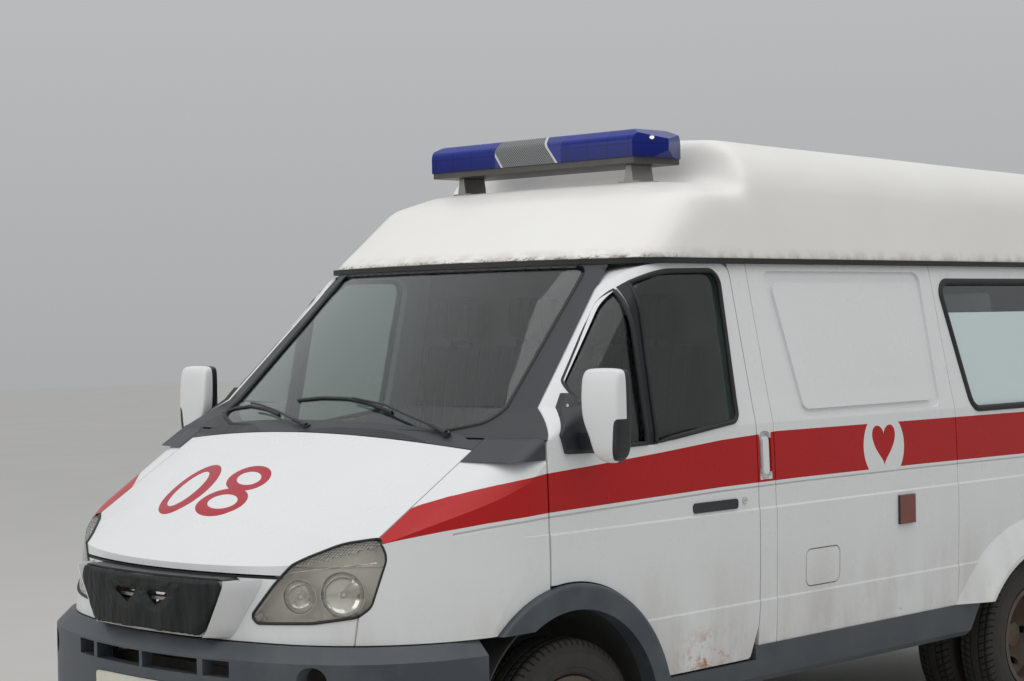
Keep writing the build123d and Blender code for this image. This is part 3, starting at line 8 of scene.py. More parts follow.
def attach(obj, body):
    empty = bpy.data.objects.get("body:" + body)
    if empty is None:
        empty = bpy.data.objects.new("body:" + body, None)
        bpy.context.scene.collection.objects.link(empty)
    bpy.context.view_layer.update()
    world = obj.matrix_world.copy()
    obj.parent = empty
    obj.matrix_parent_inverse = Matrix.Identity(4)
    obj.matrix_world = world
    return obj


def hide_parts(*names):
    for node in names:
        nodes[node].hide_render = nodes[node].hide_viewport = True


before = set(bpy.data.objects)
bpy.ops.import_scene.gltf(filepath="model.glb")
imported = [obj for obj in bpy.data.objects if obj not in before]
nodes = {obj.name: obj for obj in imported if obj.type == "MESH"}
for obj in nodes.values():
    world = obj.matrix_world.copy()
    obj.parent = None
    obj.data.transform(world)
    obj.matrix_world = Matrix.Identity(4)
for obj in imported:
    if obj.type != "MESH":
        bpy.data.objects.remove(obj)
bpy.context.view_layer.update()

# Ambulance on a light van, high roof, light bar, twin rear wheels
# It stands in a pale studio, seen from its left front corner at a walker's eye height


# Studio: a pale floor that rises into a plain backdrop, a broad soft sky and two large softboxes.
# The sky is near white so the paint reads white, and darker low down so the sides shade off.
def new_material(name):
    """Empty principled material: its node tree, its shader and the coordinates of the object."""
    made = bpy.data.materials.new(name)
    made.use_nodes = True
    tree = made.node_tree
    shader = tree.nodes["Principled BSDF"]
    place = tree.nodes.new("ShaderNodeTexCoord").outputs["Object"]
    return made, tree, shader, place


def add(tree, kind, links=(), **settings):
    """A shader node; settings fill its options, and links feed its inputs by name or number."""
    made = tree.nodes.new("ShaderNode" + kind)
    for key, value in settings.items():
        setattr(made, key, value)
    for socket, source in dict(links).items():
        target = made.inputs[socket]
        if isinstance(source, bpy.types.NodeSocket):
            tree.links.new(source, target)
        else:
            target.default_value = source
    return made


def noise(tree, place, scale, detail=4.0, rough=0.55, stretch=None):
    """Fractal noise from 0 to 1, stretched along an axis where asked."""
    if stretch:
        place = add(tree, "Mapping", {0: place, "Scale": stretch}).outputs[0]
    made = add(tree, "TexNoise", {"Vector": place, "Scale": scale, "Detail": detail, "Roughness": rough})
    return made.outputs["Fac"]


def ramp(tree, value, low, high, to_low=0.0, to_high=1.0):
    """Clamped straight rise between two values."""
    links = {"Value": value, "From Min": low, "From Max": high, "To Min": to_low, "To Max": to_high}
    return add(tree, "MapRange", links, clamp=True).outputs["Result"]


def mix(tree, share, first, second):
    """Colour mix of two colours or sockets."""
    made = add(tree, "Mix", data_type="RGBA")
    for socket, source in ((0, share), (6, first), (7, second)):
        if isinstance(source, bpy.types.NodeSocket):
            tree.links.new(source, made.inputs[socket])
        else:
            made.inputs[socket].default_value = source
    return made.outputs[2]


def feed(tree, shader, socket, value):
    """Set an input of the shader to a number or colour, or link it to a value of the tree."""
    if isinstance(value, bpy.types.NodeSocket):
        tree.links.new(value, shader.inputs[socket])
    else:
        shader.inputs[socket].default_value = value


def axes(tree, place):
    """The three coordinates of a place."""
    return add(tree, "SeparateXYZ", {0: place}).outputs


def started(name, primitive, **settings):
    """New piece, made by one of Blender's primitives."""
    bpy.ops.object.select_all(action="DESELECT")
    primitive(**settings)
    bpy.context.object.name = name
    return bpy.context.object


floor = started("studio_floor", bpy.ops.mesh.primitive_plane_add, size=90, location=(0, 0, -0.001))
floor_paint, tree, shader, place = new_material("studio_floor")
patches = noise(tree, place, 0.8, 6)
feed(tree, shader, "Base Color", mix(tree, patches, (0.50, 0.49, 0.47, 1), (0.57, 0.56, 0.545, 1)))
feed(tree, shader, "Roughness", 0.85)
floor.data.materials.append(floor_paint)

world = bpy.data.worlds.new("studio_sky")
world.use_nodes = True
sky = world.node_tree
background = sky.nodes["Background"]
sky_place = sky.nodes.new("ShaderNodeTexCoord").outputs["Generated"]
height = axes(sky, sky_place)[2]
lift = ramp(sky, height, -0.05, 0.75)
feed(sky, background, "Color", mix(sky, lift, (0.50, 0.51, 0.52, 1), (0.98, 0.99, 1.0, 1)))
feed(sky, background, "Strength", 0.78)
bpy.context.scene.world = world
bpy.context.scene.view_settings.view_transform = "Standard"


def softbox(name, place_at, aim_at, size, power):
    """Large square light facing a point."""
    lamp = bpy.data.lights.new(name, "AREA")
    lamp.size = size
    lamp.energy = power
    holder = bpy.data.objects.new(name, lamp)
    holder.location = place_at
    holder.rotation_euler = (Vector(aim_at) - Vector(place_at)).to_track_quat("-Z", "Y").to_euler()
    bpy.context.scene.collection.objects.link(holder)
    return holder


softbox("softbox_high", (2.0, -2.0, 9.0), (0, 0, 1.0), 9.0, 230)
softbox("softbox_front", (-4.5, -9.0, 4.0), (0, -1.5, 1.2), 5.0, 120)


# Camera: level with a walker's eye, ahead of the left front corner, with a long lens.
# Focal length and width are in pixels of the photograph.
SENSOR = 36
FOCAL_LENGTH = 2065.25
PHOTO_WIDTH = 1024
EYE = (5.5751, -6.7076, 1.7445)
camera_data = bpy.data.cameras.new("camera")
camera_data.sensor_width = SENSOR
camera_data.lens = SENSOR * FOCAL_LENGTH / PHOTO_WIDTH
camera_data.clip_end = 200
camera = bpy.data.objects.new("camera", camera_data)
azimuth = math.radians(44.27)
tilt = math.radians(0.58)
roll = math.radians(-0.99)
back = Vector((math.sin(azimuth) * math.cos(tilt), -math.cos(azimuth) * math.cos(tilt), math.sin(tilt)))
right = (-back).cross(Vector((0, 0, 1))).normalized()
up = right.cross(-back)
right, up = (
    math.cos(roll) * right + math.sin(roll) * up,
    math.cos(roll) * up - math.sin(roll) * right,
)
camera.matrix_world = Matrix((
    (right.x, up.x, back.x, EYE[0]),
    (right.y, up.y, back.y, EYE[1]),
    (right.z, up.z, back.z, EYE[2]),
    (0, 0, 0, 1),
))
bpy.context.scene.collection.objects.link(camera)
bpy.context.scene.camera = camera


# Painted steel body: white paint over pressed panels, with a deep red band along each side.
# The band is laid on in vinyl, rises to the rear of the door and tapers to a point at the headlamp.
# A shallow groove is pressed in just below it and darkened with painted shade, and dirt and rust gather
# along the sills.
BAND_TOP = [
    (-2.420, 1.020), (-2.380, 1.067), (-2.331, 1.097), (-2.285, 1.125), (-2.248, 1.145), (-2.219, 1.158),
    (-2.187, 1.170), (-2.147, 1.185), (-2.090, 1.201), (-2.029, 1.214), (-1.961, 1.225), (-1.848, 1.241),
    (-1.570, 1.257), (-1.259, 1.277), (-0.926, 1.302), (-0.716, 1.311), (-0.600, 1.318), (0.321, 1.315),
    (2.700, 1.308),
]
BAND_FOOT = [
    (-2.420, 1.040), (-2.384, 1.052), (-2.344, 1.062), (-2.287, 1.073), (-2.226, 1.083), (-2.160, 1.091),
    (-2.089, 1.099), (-2.010, 1.105), (-1.835, 1.114), (-1.500, 1.122), (-0.937, 1.135), (-0.492, 1.139),
    (0.307, 1.139), (1.069, 1.135), (2.700, 1.130),
]
BAND_Y = (-2.5, 2.8)
BAND_Z = (1.0, 1.4)


def maths(tree, operation, first, second=0.0, third=0.0):
    """One sum on two or three numbers or sockets."""
    return add(tree, "Math", {0: first, 1: second, 2: third}, operation=operation).outputs[0]


def plus(tree, first, second):
    """Sum of two numbers or sockets."""
    return maths(tree, "ADD", first, second)


def minus(tree, first, second):
    """Difference of two numbers or sockets."""
    return maths(tree, "SUBTRACT", first, second)


def times(tree, first, second):
    """Product of two numbers or sockets; with masks, 1 where both are 1."""
    return maths(tree, "MULTIPLY", first, second)


def either(tree, first, second):
    """The greater of two numbers or sockets; with masks, 1 where one is 1."""
    return maths(tree, "MAXIMUM", first, second)


def above(tree, value, limit):
    """1 where a value is over a limit, else 0."""
    return maths(tree, "GREATER_THAN", value, limit)


def below(tree, value, limit):
    """1 where a value is under a limit, else 0."""
    return maths(tree, "LESS_THAN", value, limit)


def size_of(tree, value):
    """A value without its sign."""
    return maths(tree, "ABSOLUTE", value)


def bump(tree, shader, height, distance, strength=1.0):
    """Surface relief from a height, in metres."""
    made = add(tree, "Bump", {"Height": height, "Distance": distance, "Strength": strength})
    tree.links.new(made.outputs[0], shader.inputs["Normal"])


def edge_curve(tree, along, table):
    """Height of a band edge for each place along the body, read from a short table."""
    share = ramp(tree, along, *BAND_Y)
    made = add(tree, "FloatCurve", {1: share})
    curve = made.mapping.curves[0]
    span_y = BAND_Y[1] - BAND_Y[0]
    span_z = BAND_Z[1] - BAND_Z[0]
    points = [((y - BAND_Y[0]) / span_y, (z - BAND_Z[0]) / span_z) for y, z in table]
    curve.points[0].location = (0, points[0][1])
    curve.points[1].location = (1, points[-1][1])
    for place_on in points:
        curve.points.new(*place_on)
    for point in curve.points:
        point.handle_type = "VECTOR"
    made.mapping.update()
    return ramp(tree, made.outputs[0], 0, 1, *BAND_Z)


def inside(tree, value, low, high):
    """1 where a value lies between two limits, else 0."""
    return times(tree, above(tree, value, low), below(tree, value, high))


def line_mask(tree, value, middle, half):
    """Soft line: 1 on a value, falling to 0 at half a width away."""
    away = size_of(tree, minus(tree, value, middle))
    return ramp(tree, away, half, 0.0)


def ellipse(tree, across, along, centre, reach, axis):
    """1 inside an ellipse in the plane, with its long axis along a unit vector."""
    u = minus(tree, across, centre[0])
    v = minus(tree, along, centre[1])
    first = plus(tree, times(tree, u, axis[0]), times(tree, v, axis[1]))
    second = minus(tree, times(tree, v, axis[0]), times(tree, u, axis[1]))
    total = maths(
        tree, "ADD",
        maths(tree, "POWER", size_of(tree, maths(tree, "DIVIDE", first, reach[0])), 2),
        maths(tree, "POWER", size_of(tree, maths(tree, "DIVIDE", second, reach[1])), 2),
    )
    return below(tree, total, 1)


WHITE = (0.80, 0.815, 0.82, 1)
SHADED_WHITE = (0.74, 0.75, 0.745, 1)
ROAD_DIRT = (0.36, 0.30, 0.23, 1)
RUST = (0.24, 0.085, 0.03, 1)
BAND_RED = (0.430, 0.005, 0.006, 1)
SEAL_AND_SHADE_BLACK = (0.010, 0.011, 0.014, 1)
DISC_PLACE = (0.092, 1.226)
DISC_R = 0.1385
HEART_SIZE = 0.078
HANDLE_POCKET_Y = (-0.703, -0.633)
HANDLE_POCKET_Z = (1.146, 1.322)
OUTER_SKIN = 0.945
REAR_SKIN = 2.676
CAB_FRONT = -1.83
GROOVE_DROP = 0.017
GROOVE_START = -2.20
NOSE_LIP = 0.9405
NOSE_LIP_HALF = 0.52
DIVIDER_FOOT = 1.290
DIVIDER_LEAN = 0.0625
DIVIDER_Y = (-1.3235, -1.2885)
DIVIDER_Z = (1.3065, 1.9135)

# Bonnet digits: rings in the plan, outer then inner, each with centre, reach and direction of the long axis
DIGIT_RINGS = [
    ((-0.270, -2.335), (0.1487, 0.1019), (0.508, -0.862)),
    ((-0.281, -2.334), (0.1014, 0.0572), (0.340, -0.940)),
    ((-0.016, -2.277), (0.1120, 0.0660), (-0.979, 0.206)),
    ((-0.014, -2.277), (0.0660, 0.0330), (-0.979, 0.206)),
    ((-0.004, -2.405), (0.1210, 0.0720), (-0.996, 0.086)),
    ((0.000, -2.404), (0.0740, 0.0370), (-0.996, 0.086)),
]


def body_paint(name, banded=False, digits=False, door=False, nose=False):
    """White vehicle paint with dirt that thickens towards the sills and rust at the lowest edges."""
    made, tree, shader, place = new_material(name)
    x, y, z = axes(tree, place)
    colour = mix(tree, noise(tree, place, 1.7, 3), WHITE, SHADED_WHITE)
    relief = times(tree, noise(tree, place, 60.0, 3), 0.0001)
    if banded:
        foot = edge_curve(tree, y, BAND_FOOT)
        over = above(tree, z, foot)
        under = below(tree, z, edge_curve(tree, y, BAND_TOP))
        band = times(tree, over, under)
        disc = ellipse(tree, y, z, DISC_PLACE, (DISC_R, DISC_R), (1, 0))
        band = times(tree, band, minus(tree, 1, disc))
        pocket = times(tree, inside(tree, y, *HANDLE_POCKET_Y), inside(tree, z, *HANDLE_POCKET_Z))
        band = times(tree, band, minus(tree, 1, pocket))
        off_middle = size_of(tree, minus(tree, y, DISC_PLACE[0]))
        u = maths(tree, "DIVIDE", off_middle, HEART_SIZE)
        v = maths(tree, "DIVIDE", minus(tree, z, DISC_PLACE[1] - 0.018), HEART_SIZE)
        lobe = minus(tree, times(tree, v, 1.25), maths(tree, "SQRT", u))
        heart = plus(tree, times(tree, u, u), times(tree, lobe, lobe))
        band = either(tree, band, below(tree, heart, 1))
        skin = above(tree, size_of(tree, x), OUTER_SKIN)
        skin = either(tree, skin, above(tree, y, REAR_SKIN))
        skin = either(tree, skin, below(tree, y, CAB_FRONT))
        band = times(tree, band, skin)
        red = mix(tree, noise(tree, place, 3.0, 5), BAND_RED, (0.480, 0.008, 0.009, 1))
        colour = mix(tree, band, colour, red)
        groove = line_mask(tree, z, minus(tree, foot, GROOVE_DROP), 0.006)
        groove = times(tree, groove, above(tree, y, GROOVE_START))
        relief = minus(tree, relief, times(tree, groove, 0.004))
        # Painted shade: the groove is darkened along its length
        colour = mix(tree, times(tree, groove, 0.35), colour, (0.40, 0.38, 0.34, 1))
    if digits:
        masks = [ellipse(tree, x, y, *ring) for ring in DIGIT_RINGS]
        holes = [minus(tree, 1, masks[i]) for i in (1, 3, 5)]
        zero = times(tree, masks[0], holes[0])
        eight = either(tree, masks[2], masks[4])
        eight = times(tree, times(tree, eight, holes[1]), holes[2])
        colour = mix(tree, either(tree, zero, eight), colour, (0.42, 0.010, 0.030, 1))
    streaks = noise(tree, place, 5.0, 6, 0.65, (1.0, 1.0, 0.25))
    low = ramp(tree, z, 0.95, 0.50, 0.0, 0.62)
    film = times(tree, low, ramp(tree, streaks, 0.38, 0.75))
    colour = mix(tree, film, colour, ROAD_DIRT)
    specks = ramp(tree, noise(tree, place, 34.0, 6, 0.7), 0.64, 0.68)
    rusty = times(tree, specks, ramp(tree, z, 0.62, 0.53))
    colour = mix(tree, rusty, colour, RUST)
    if nose:
        # Painted shade: a black band on the lip under the bonnet's front edge
        lip = times(tree, above(tree, z, NOSE_LIP), below(tree, size_of(tree, x), NOSE_LIP_HALF))
        colour = mix(tree, lip, colour, SEAL_AND_SHADE_BLACK)
    if door:
        # Rust bubbles and runs low on the door, and the black divider of the window
        patch = times(tree, ramp(tree, z, 0.66, 0.56), line_mask(tree, y, -1.02, 0.20))
        patch = times(tree, patch, ramp(tree, noise(tree, place, 19.0, 8, 0.75), 0.50, 0.60))
        colour = mix(tree, patch, colour, (0.42, 0.20, 0.09, 1))
        rise = minus(tree, z, DIVIDER_FOOT)
        across = minus(tree, y, times(tree, rise, DIVIDER_LEAN))
        bar = times(tree, inside(tree, across, *DIVIDER_Y), inside(tree, z, *DIVIDER_Z))
        bar = times(tree, bar, ellipse(tree, y, z, (-1.048, 1.436), (0.480, 0.480), (1, 0)))
        colour = mix(tree, bar, colour, SEAL_AND_SHADE_BLACK)
    feed(tree, shader, "Base Color", colour)
    rough = ramp(tree, noise(tree, place, 9.0, 5), 0.3, 0.8, 0.24, 0.40)
    feed(tree, shader, "Roughness", rough)
    feed(tree, shader, "Specular IOR Level", 0.30)
    bump(tree, shader, relief, 1.0)
    return made


def give(material, *names):
    """Put one material on CAD nodes, in place of what they were packed with."""
    for name in names:
        nodes[name].data.materials.clear()
        nodes[name].data.materials.append(material)


banded_paint = body_paint("body_paint_banded", banded=True)
door_paint = body_paint("body_paint_door", banded=True, door=True)
bonnet_paint = body_paint("body_paint_digits", digits=True)
plain_paint = body_paint("body_paint_plain")
give(
    banded_paint, "front_wings", "side_panel_left", "side_panel_right", "sliding_door", "door_rear_left",
    "door_rear_right",
)
give(door_paint, "door_front_left", "door_front_right")
give(bonnet_paint, "bonnet")
give(plain_paint, "fuel_flap")
give(body_paint("body_paint_nose", nose=True), "nose_panel")


# Roof cap: moulded glass fibre with a creamy gelcoat, dusty on top and streaked above the gutter.
# Its foot over the windscreen is chipped and dirty where the sealant has cracked.
roof_coat, tree, shader, place = new_material("roof_gelcoat")
x, y, z = axes(tree, place)
colour = mix(tree, noise(tree, place, 2.2, 5), (0.88, 0.87, 0.84, 1), (0.80, 0.785, 0.745, 1))
foot = times(tree, ramp(tree, z, 2.00, 1.955), ramp(tree, noise(tree, place, 14.0, 6), 0.42, 0.60))
colour = mix(tree, times(tree, foot, 0.55), colour, (0.42, 0.36, 0.28, 1))
chips = times(tree, ramp(tree, noise(tree, place, 42.0, 8, 0.8), 0.50, 0.56), ramp(tree, z, 1.974, 1.962))
chips = times(tree, chips, below(tree, y, -1.0))
colour = mix(tree, times(tree, chips, 0.8), colour, (0.14, 0.11, 0.08, 1))
feed(tree, shader, "Base Color", colour)
feed(tree, shader, "Roughness", ramp(tree, noise(tree, place, 6.0, 5), 0.3, 0.8, 0.30, 0.48))
bump(tree, shader, noise(tree, place, 7.0, 3), 0.0012, 0.3)


def select_only(piece):
    """Make one piece the only selected and active object."""
    bpy.ops.object.select_all(action="DESELECT")
    piece.select_set(True)
    bpy.context.view_layer.objects.active = piece


def copy_of(node, name):
    """Merged copy of a CAD node's mesh, as a piece of its own."""
    made = bpy.data.objects.new(name, nodes[node].data.copy())
    bpy.context.scene.collection.objects.link(made)
    made.data.materials.clear()
    select_only(made)
    bpy.ops.object.mode_set(mode="EDIT")
    bpy.ops.mesh.select_all(action="SELECT")
    bpy.ops.mesh.remove_doubles(threshold=0.00005)
    bpy.ops.object.mode_set(mode="OBJECT")
    return made


def pick(piece, kind, test):
    """Go into edit mode with the vertices, edges or faces selected that pass a test."""
    bpy.ops.object.mode_set(mode="OBJECT")
    select_only(piece)
    bpy.context.tool_settings.mesh_select_mode = (kind == "VERT", kind == "EDGE", kind == "FACE")
    mesh = piece.data
    for parts in (mesh.vertices, mesh.edges, mesh.polygons):
        parts.foreach_set("select", [False] * len(parts))
    parts = {"VERT": mesh.vertices, "EDGE": mesh.edges, "FACE": mesh.polygons}[kind]
    for part in parts:
        part.select = test(part)
    bpy.ops.object.mode_set(mode="EDIT")


def cut_away(piece, test):
    """Delete the faces that pass a test, and stay in edit mode with the rest selected."""
    pick(piece, "FACE", test)
    bpy.ops.mesh.delete(type="FACE")
    bpy.ops.mesh.select_all(action="SELECT")


def settle(piece, material, body):
    """Fix a finished piece's place in its mesh, give it its material and let it move with a body."""
    bpy.ops.object.mode_set(mode="OBJECT")
    select_only(piece)
    bpy.ops.object.transform_apply(location=True, rotation=True, scale=True)
    piece.data.materials.clear()
    piece.data.materials.append(material)
    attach(piece, body)
    return piece


def remesh(piece, grain):
    """Give a piece one even skin of small faces."""
    even = piece.modifiers.new("even_mesh", "REMESH")
    even.mode = "VOXEL"
    even.voxel_size = grain
    bpy.ops.object.modifier_apply(modifier="even_mesh")


def thicken(piece, wall, offset=-1.0):
    """Give a surface its wall."""
    solid = piece.modifiers.new("wall", "SOLIDIFY")
    solid.thickness = wall
    solid.offset = offset
    bpy.ops.object.modifier_apply(modifier="wall")


CAP_FOOT_TOP = 2.03
ROUNDED_FROM = 1.985
ROUNDED_OVER = 0.06
cap = copy_of("roof_cap", "roof_shell")
bpy.context.view_layer.update()
solid_cap = nodes["roof_cap"]


def lining(face):
    """True for the faces that look into the cap."""
    return solid_cap.ray_cast(face.center + face.normal * 0.001, face.normal, distance=6.0)[0]


def under_side(face):
    """True for the faces at the foot of the cap that look down."""
    return face.normal.z < -0.6 and face.center.z < CAP_FOOT_TOP


cut_away(cap, lining)
cut_away(cap, under_side)
bpy.ops.mesh.region_to_loop()
bpy.ops.mesh.edge_face_add()
bpy.ops.object.mode_set(mode="OBJECT")
remesh(cap, 0.022)
high = cap.vertex_groups.new(name="above_foot")
for vertex in cap.data.vertices:
    high.add([vertex.index], min(max((vertex.co.z - ROUNDED_FROM) / ROUNDED_OVER, 0.0), 1.0), "REPLACE")
rounding = cap.modifiers.new("rounding", "SMOOTH")
rounding.factor = 0.5
rounding.iterations = 14
rounding.vertex_group = "above_foot"
bpy.ops.object.modifier_apply(modifier="rounding")
cap.vertex_groups.clear()
cut_away(cap, under_side)
bpy.ops.object.mode_set(mode="OBJECT")
thicken(cap, 0.008)
bpy.ops.object.shade_smooth_by_angle(angle=0.9)
settle(cap, roof_coat, "body")
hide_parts("roof_cap")


# Dark mouldings: sills, wheel flares and bumpers in grained slate-grey plastic, bleached and dusty.
# The screen frame is black, and the cowl has two slatted air inlets, with painted shade in the openings
# between the slats.
def wave(tree, value, pitch):
    """Sine wave of a value."""
    return maths(tree, "SINE", times(tree, value, pitch))


def moulding(name, colour, worn, rough, grain=900.0, slots=()):
    """Grained plastic with a bleached, dusty film in its hollows, and cut slots where asked, with painted
    shade in their openings.
    """
    made, tree, shader, place = new_material(name)
    film = ramp(tree, noise(tree, place, 6.0, 6, 0.6), 0.42, 0.72)
    shade = mix(tree, times(tree, film, 0.55), colour, worn)
    relief = times(tree, noise(tree, place, grain, 2), 0.00015)
    x, y, z = axes(tree, place)
    for centre, reach, axis in slots:
        field = ellipse(tree, x, y, centre, reach, axis)
        bars = wave(tree, x, 420)
        rows = wave(tree, y, 560)
        hollow = times(tree, field, below(tree, either(tree, bars, rows), 0.72))
        # Painted shade: the openings between the slats are painted near black
        shade = mix(tree, hollow, shade, (0.002, 0.002, 0.002, 1))
        relief = minus(tree, relief, times(tree, hollow, 0.004))
    feed(tree, shader, "Base Color", shade)
    feed(tree, shader, "Roughness", ramp(tree, film, 0, 1, rough, min(rough + 0.2, 1.0)))
    bump(tree, shader, relief, 1.0)
    return made


slate = moulding("slate_moulding", (0.050, 0.062, 0.076, 1), (0.115, 0.120, 0.122, 1), 0.42)
give(slate, "lower_trims", "front_bumper", "rear_bumper")
black_trim = moulding("black_trim", (0.016, 0.018, 0.023, 1), (0.050, 0.050, 0.052, 1), 0.36)
give(black_trim, "windscreen_frame")
COWL_SLOTS = [
    ((0.250, -2.006), (0.330, 0.040), (0.999, 0.045)),
    ((-0.540, -1.953), (0.250, 0.036), (0.979, -0.204)),
]
cowl_plastic = moulding(
    "cowl_plastic", (0.032, 0.035, 0.042, 1), (0.075, 0.075, 0.077, 1), 0.42, slots=COWL_SLOTS,
)
give(cowl_plastic, "cowl_panel")
black_rubber = moulding("black_rubber", (0.010, 0.010, 0.012, 1), (0.045, 0.044, 0.043, 1), 0.50, 300.0)
give(black_rubber, "drip_rails")


# Glass: greenish safety glass, dark against the cab; the side windows are frosted below a clear strip
def glazing(name, colour, rough=0.0):
    """Thin clear glass that shows what is behind it."""
    made, tree, shader, place = new_material(name)
    feed(tree, shader, "Base Color", colour)
    feed(tree, shader, "Roughness", rough)
    feed(tree, shader, "Transmission Weight", 1.0)
    feed(tree, shader, "IOR", 1.45)
    return made


clear_glass = glazing("clear_glass", (0.66, 0.74, 0.72, 1))
give(clear_glass, "windscreen")
door_glass = glazing("door_glass", (0.34, 0.40, 0.38, 1))
give(door_glass, "glass_front_left", "glass_front_right")
FROST_TOP = 1.742
frosted, tree, shader, place = new_material("frosted_glass")
x, y, z = axes(tree, place)
frost = below(tree, z, FROST_TOP)
feed(tree, shader, "Base Color", mix(tree, frost, (0.24, 0.28, 0.27, 1), (0.60, 0.72, 0.70, 1)))
feed(tree, shader, "Transmission Weight", ramp(tree, frost, 0, 1, 1.0, 0.0))
feed(tree, shader, "Roughness", ramp(tree, frost, 0, 1, 0.02, 0.30))
feed(tree, shader, "Coat Weight", 0.6)
give(frosted, "side_windows", "glass_rear_left", "glass_rear_right")


# Window rubbers: a black extrusion pressed over the edge of each pane, all the way round.
# Each is swept along the rim of the pane's outer face.
THICKEST_PANE = 0.014
THINNEST_PANE = 0.0008


def edge_bead(node, name, facing, thick, lift, body, inward=0.0):
    """Round bead along the rims of a pane's outer face on one side, lifted off it."""
    piece = copy_of(node, name)
    facing = Vector(facing)
    probe = bpy.data.objects.new("probe", piece.data.copy())
    bpy.context.scene.collection.objects.link(probe)
    bpy.context.view_layer.update()

    def hidden(face):
        """True for every face but those of the pane's outer side."""
        if face.center.x * facing.x < 0 or face.normal.dot(facing) < -0.3:
            return True
        start = face.center - face.normal * 0.0004
        met, where, _, _ = probe.ray_cast(start, -face.normal, distance=THICKEST_PANE)
        return not met or (face.center - where).dot(facing) < THINNEST_PANE

    cut_away(piece, hidden)
    if inward:
        bpy.ops.mesh.inset(thickness=inward, use_boundary=True)
        bpy.ops.mesh.select_all(action="INVERT")
        bpy.ops.mesh.delete(type="FACE")
        bpy.ops.mesh.select_all(action="SELECT")
    bpy.ops.mesh.region_to_loop()
    bpy.ops.mesh.select_all(action="INVERT")
    bpy.ops.mesh.delete(type="EDGE")
    bpy.ops.mesh.select_all(action="SELECT")
    bpy.ops.mesh.remove_doubles(threshold=0.0008)
    bpy.ops.transform.translate(value=facing * lift)
    bpy.ops.object.mode_set(mode="OBJECT")
    bpy.data.objects.remove(probe)
    bpy.ops.object.convert(target="CURVE")
    piece.data.bevel_depth = thick / 2
    piece.data.bevel_resolution = 2
    bpy.ops.object.convert(target="MESH")
    bpy.ops.object.shade_smooth_by_angle(angle=1.0)
    return settle(piece, black_rubber, body)


edge_bead("windscreen", "windscreen_rubber", (0, -1, 0.25), 0.016, 0.004, "body")
edge_bead("glass_front_left", "window_rubber_left", (1, 0, 0), 0.019, 0.012, "front_door_left", 0.008)
edge_bead("glass_front_right", "window_rubber_right", (-1, 0, 0), 0.019, 0.012, "front_door_right", 0.008)
edge_bead("side_windows", "side_rubber_left", (1, 0, 0), 0.028, 0.010, "body")
edge_bead("side_windows", "side_rubber_right", (-1, 0, 0), 0.028, 0.010, "body")
edge_bead("glass_rear_left", "rear_rubber_left", (0, 1, 0), 0.026, 0.009, "rear_door_left")
edge_bead("glass_rear_right", "rear_rubber_right", (0, 1, 0), 0.026, 0.009, "rear_door_right")


# Wipers: two sprung arms of black steel from pivots on the cowl, each with a bowed blade and its rubber
def rod(name, points, thick):
    """Round bar run through a row of points."""
    piece = started(name, bpy.ops.mesh.primitive_plane_add, size=0.001, location=points[0])
    bpy.ops.object.mode_set(mode="EDIT")
    bpy.ops.mesh.select_mode(type="VERT")
    bpy.ops.mesh.select_all(action="SELECT")
    bpy.ops.mesh.merge(type="CENTER")
    for start, end in zip(points, points[1:]):
        step = Vector(end) - Vector(start)
        bpy.ops.mesh.extrude_region_move(TRANSFORM_OT_translate={"value": step})
    bpy.ops.object.mode_set(mode="OBJECT")
    bpy.ops.object.convert(target="CURVE")
    piece.data.bevel_depth = thick / 2
    piece.data.bevel_resolution = 2
    piece.data.use_fill_caps = True
    bpy.ops.object.convert(target="MESH")
    bpy.ops.object.shade_smooth_by_angle(angle=1.0)
    return piece


def joined(name, pieces):
    """Join pieces into one, under one name."""
    select_only(pieces[0])
    for piece in pieces[1:]:
        piece.select_set(True)
    bpy.ops.object.join()
    pieces[0].name = name
    return pieces[0]


WIPER_BLADES = [
    [
        (-0.254, -1.852, 1.464), (-0.113, -1.853, 1.475), (0.028, -1.858, 1.474), (0.146, -1.868, 1.460),
        (0.290, -1.886, 1.431),
    ],
    [
        (-0.738, -1.824, 1.404), (-0.676, -1.812, 1.424), (-0.563, -1.827, 1.436), (-0.425, -1.866, 1.429),
        (-0.300, -1.906, 1.412),
    ],
]
WIPER_ARMS = [
    [
        (0.606, -1.934, 1.372), (0.520, -1.925, 1.396), (0.416, -1.915, 1.420), (0.263, -1.896, 1.458),
        (0.070, -1.874, 1.478),
    ],
    [
        (-0.055, -1.984, 1.384), (-0.139, -1.972, 1.402), (-0.282, -1.927, 1.426), (-0.425, -1.884, 1.444),
        (-0.520, -1.858, 1.450),
    ],
]
parts = []
for blade, arm in zip(WIPER_BLADES, WIPER_ARMS):
    parts.append(rod("wiper_blade", blade, 0.013))
    parts.append(rod("wiper_lip", [(x, y + 0.007, z - 0.009) for x, y, z in blade], 0.006))
    parts.append(rod("wiper_arm", arm[1:], 0.009))
    parts.append(rod("wiper_root", arm[:2], 0.017))
    pivot = Vector(arm[0])
    parts.append(rod("wiper_pivot", [pivot + Vector((0, 0.006, -0.016)), pivot], 0.030))
wiper_set = settle(joined("wiper_set", parts), black_trim, "body")
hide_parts("wipers")


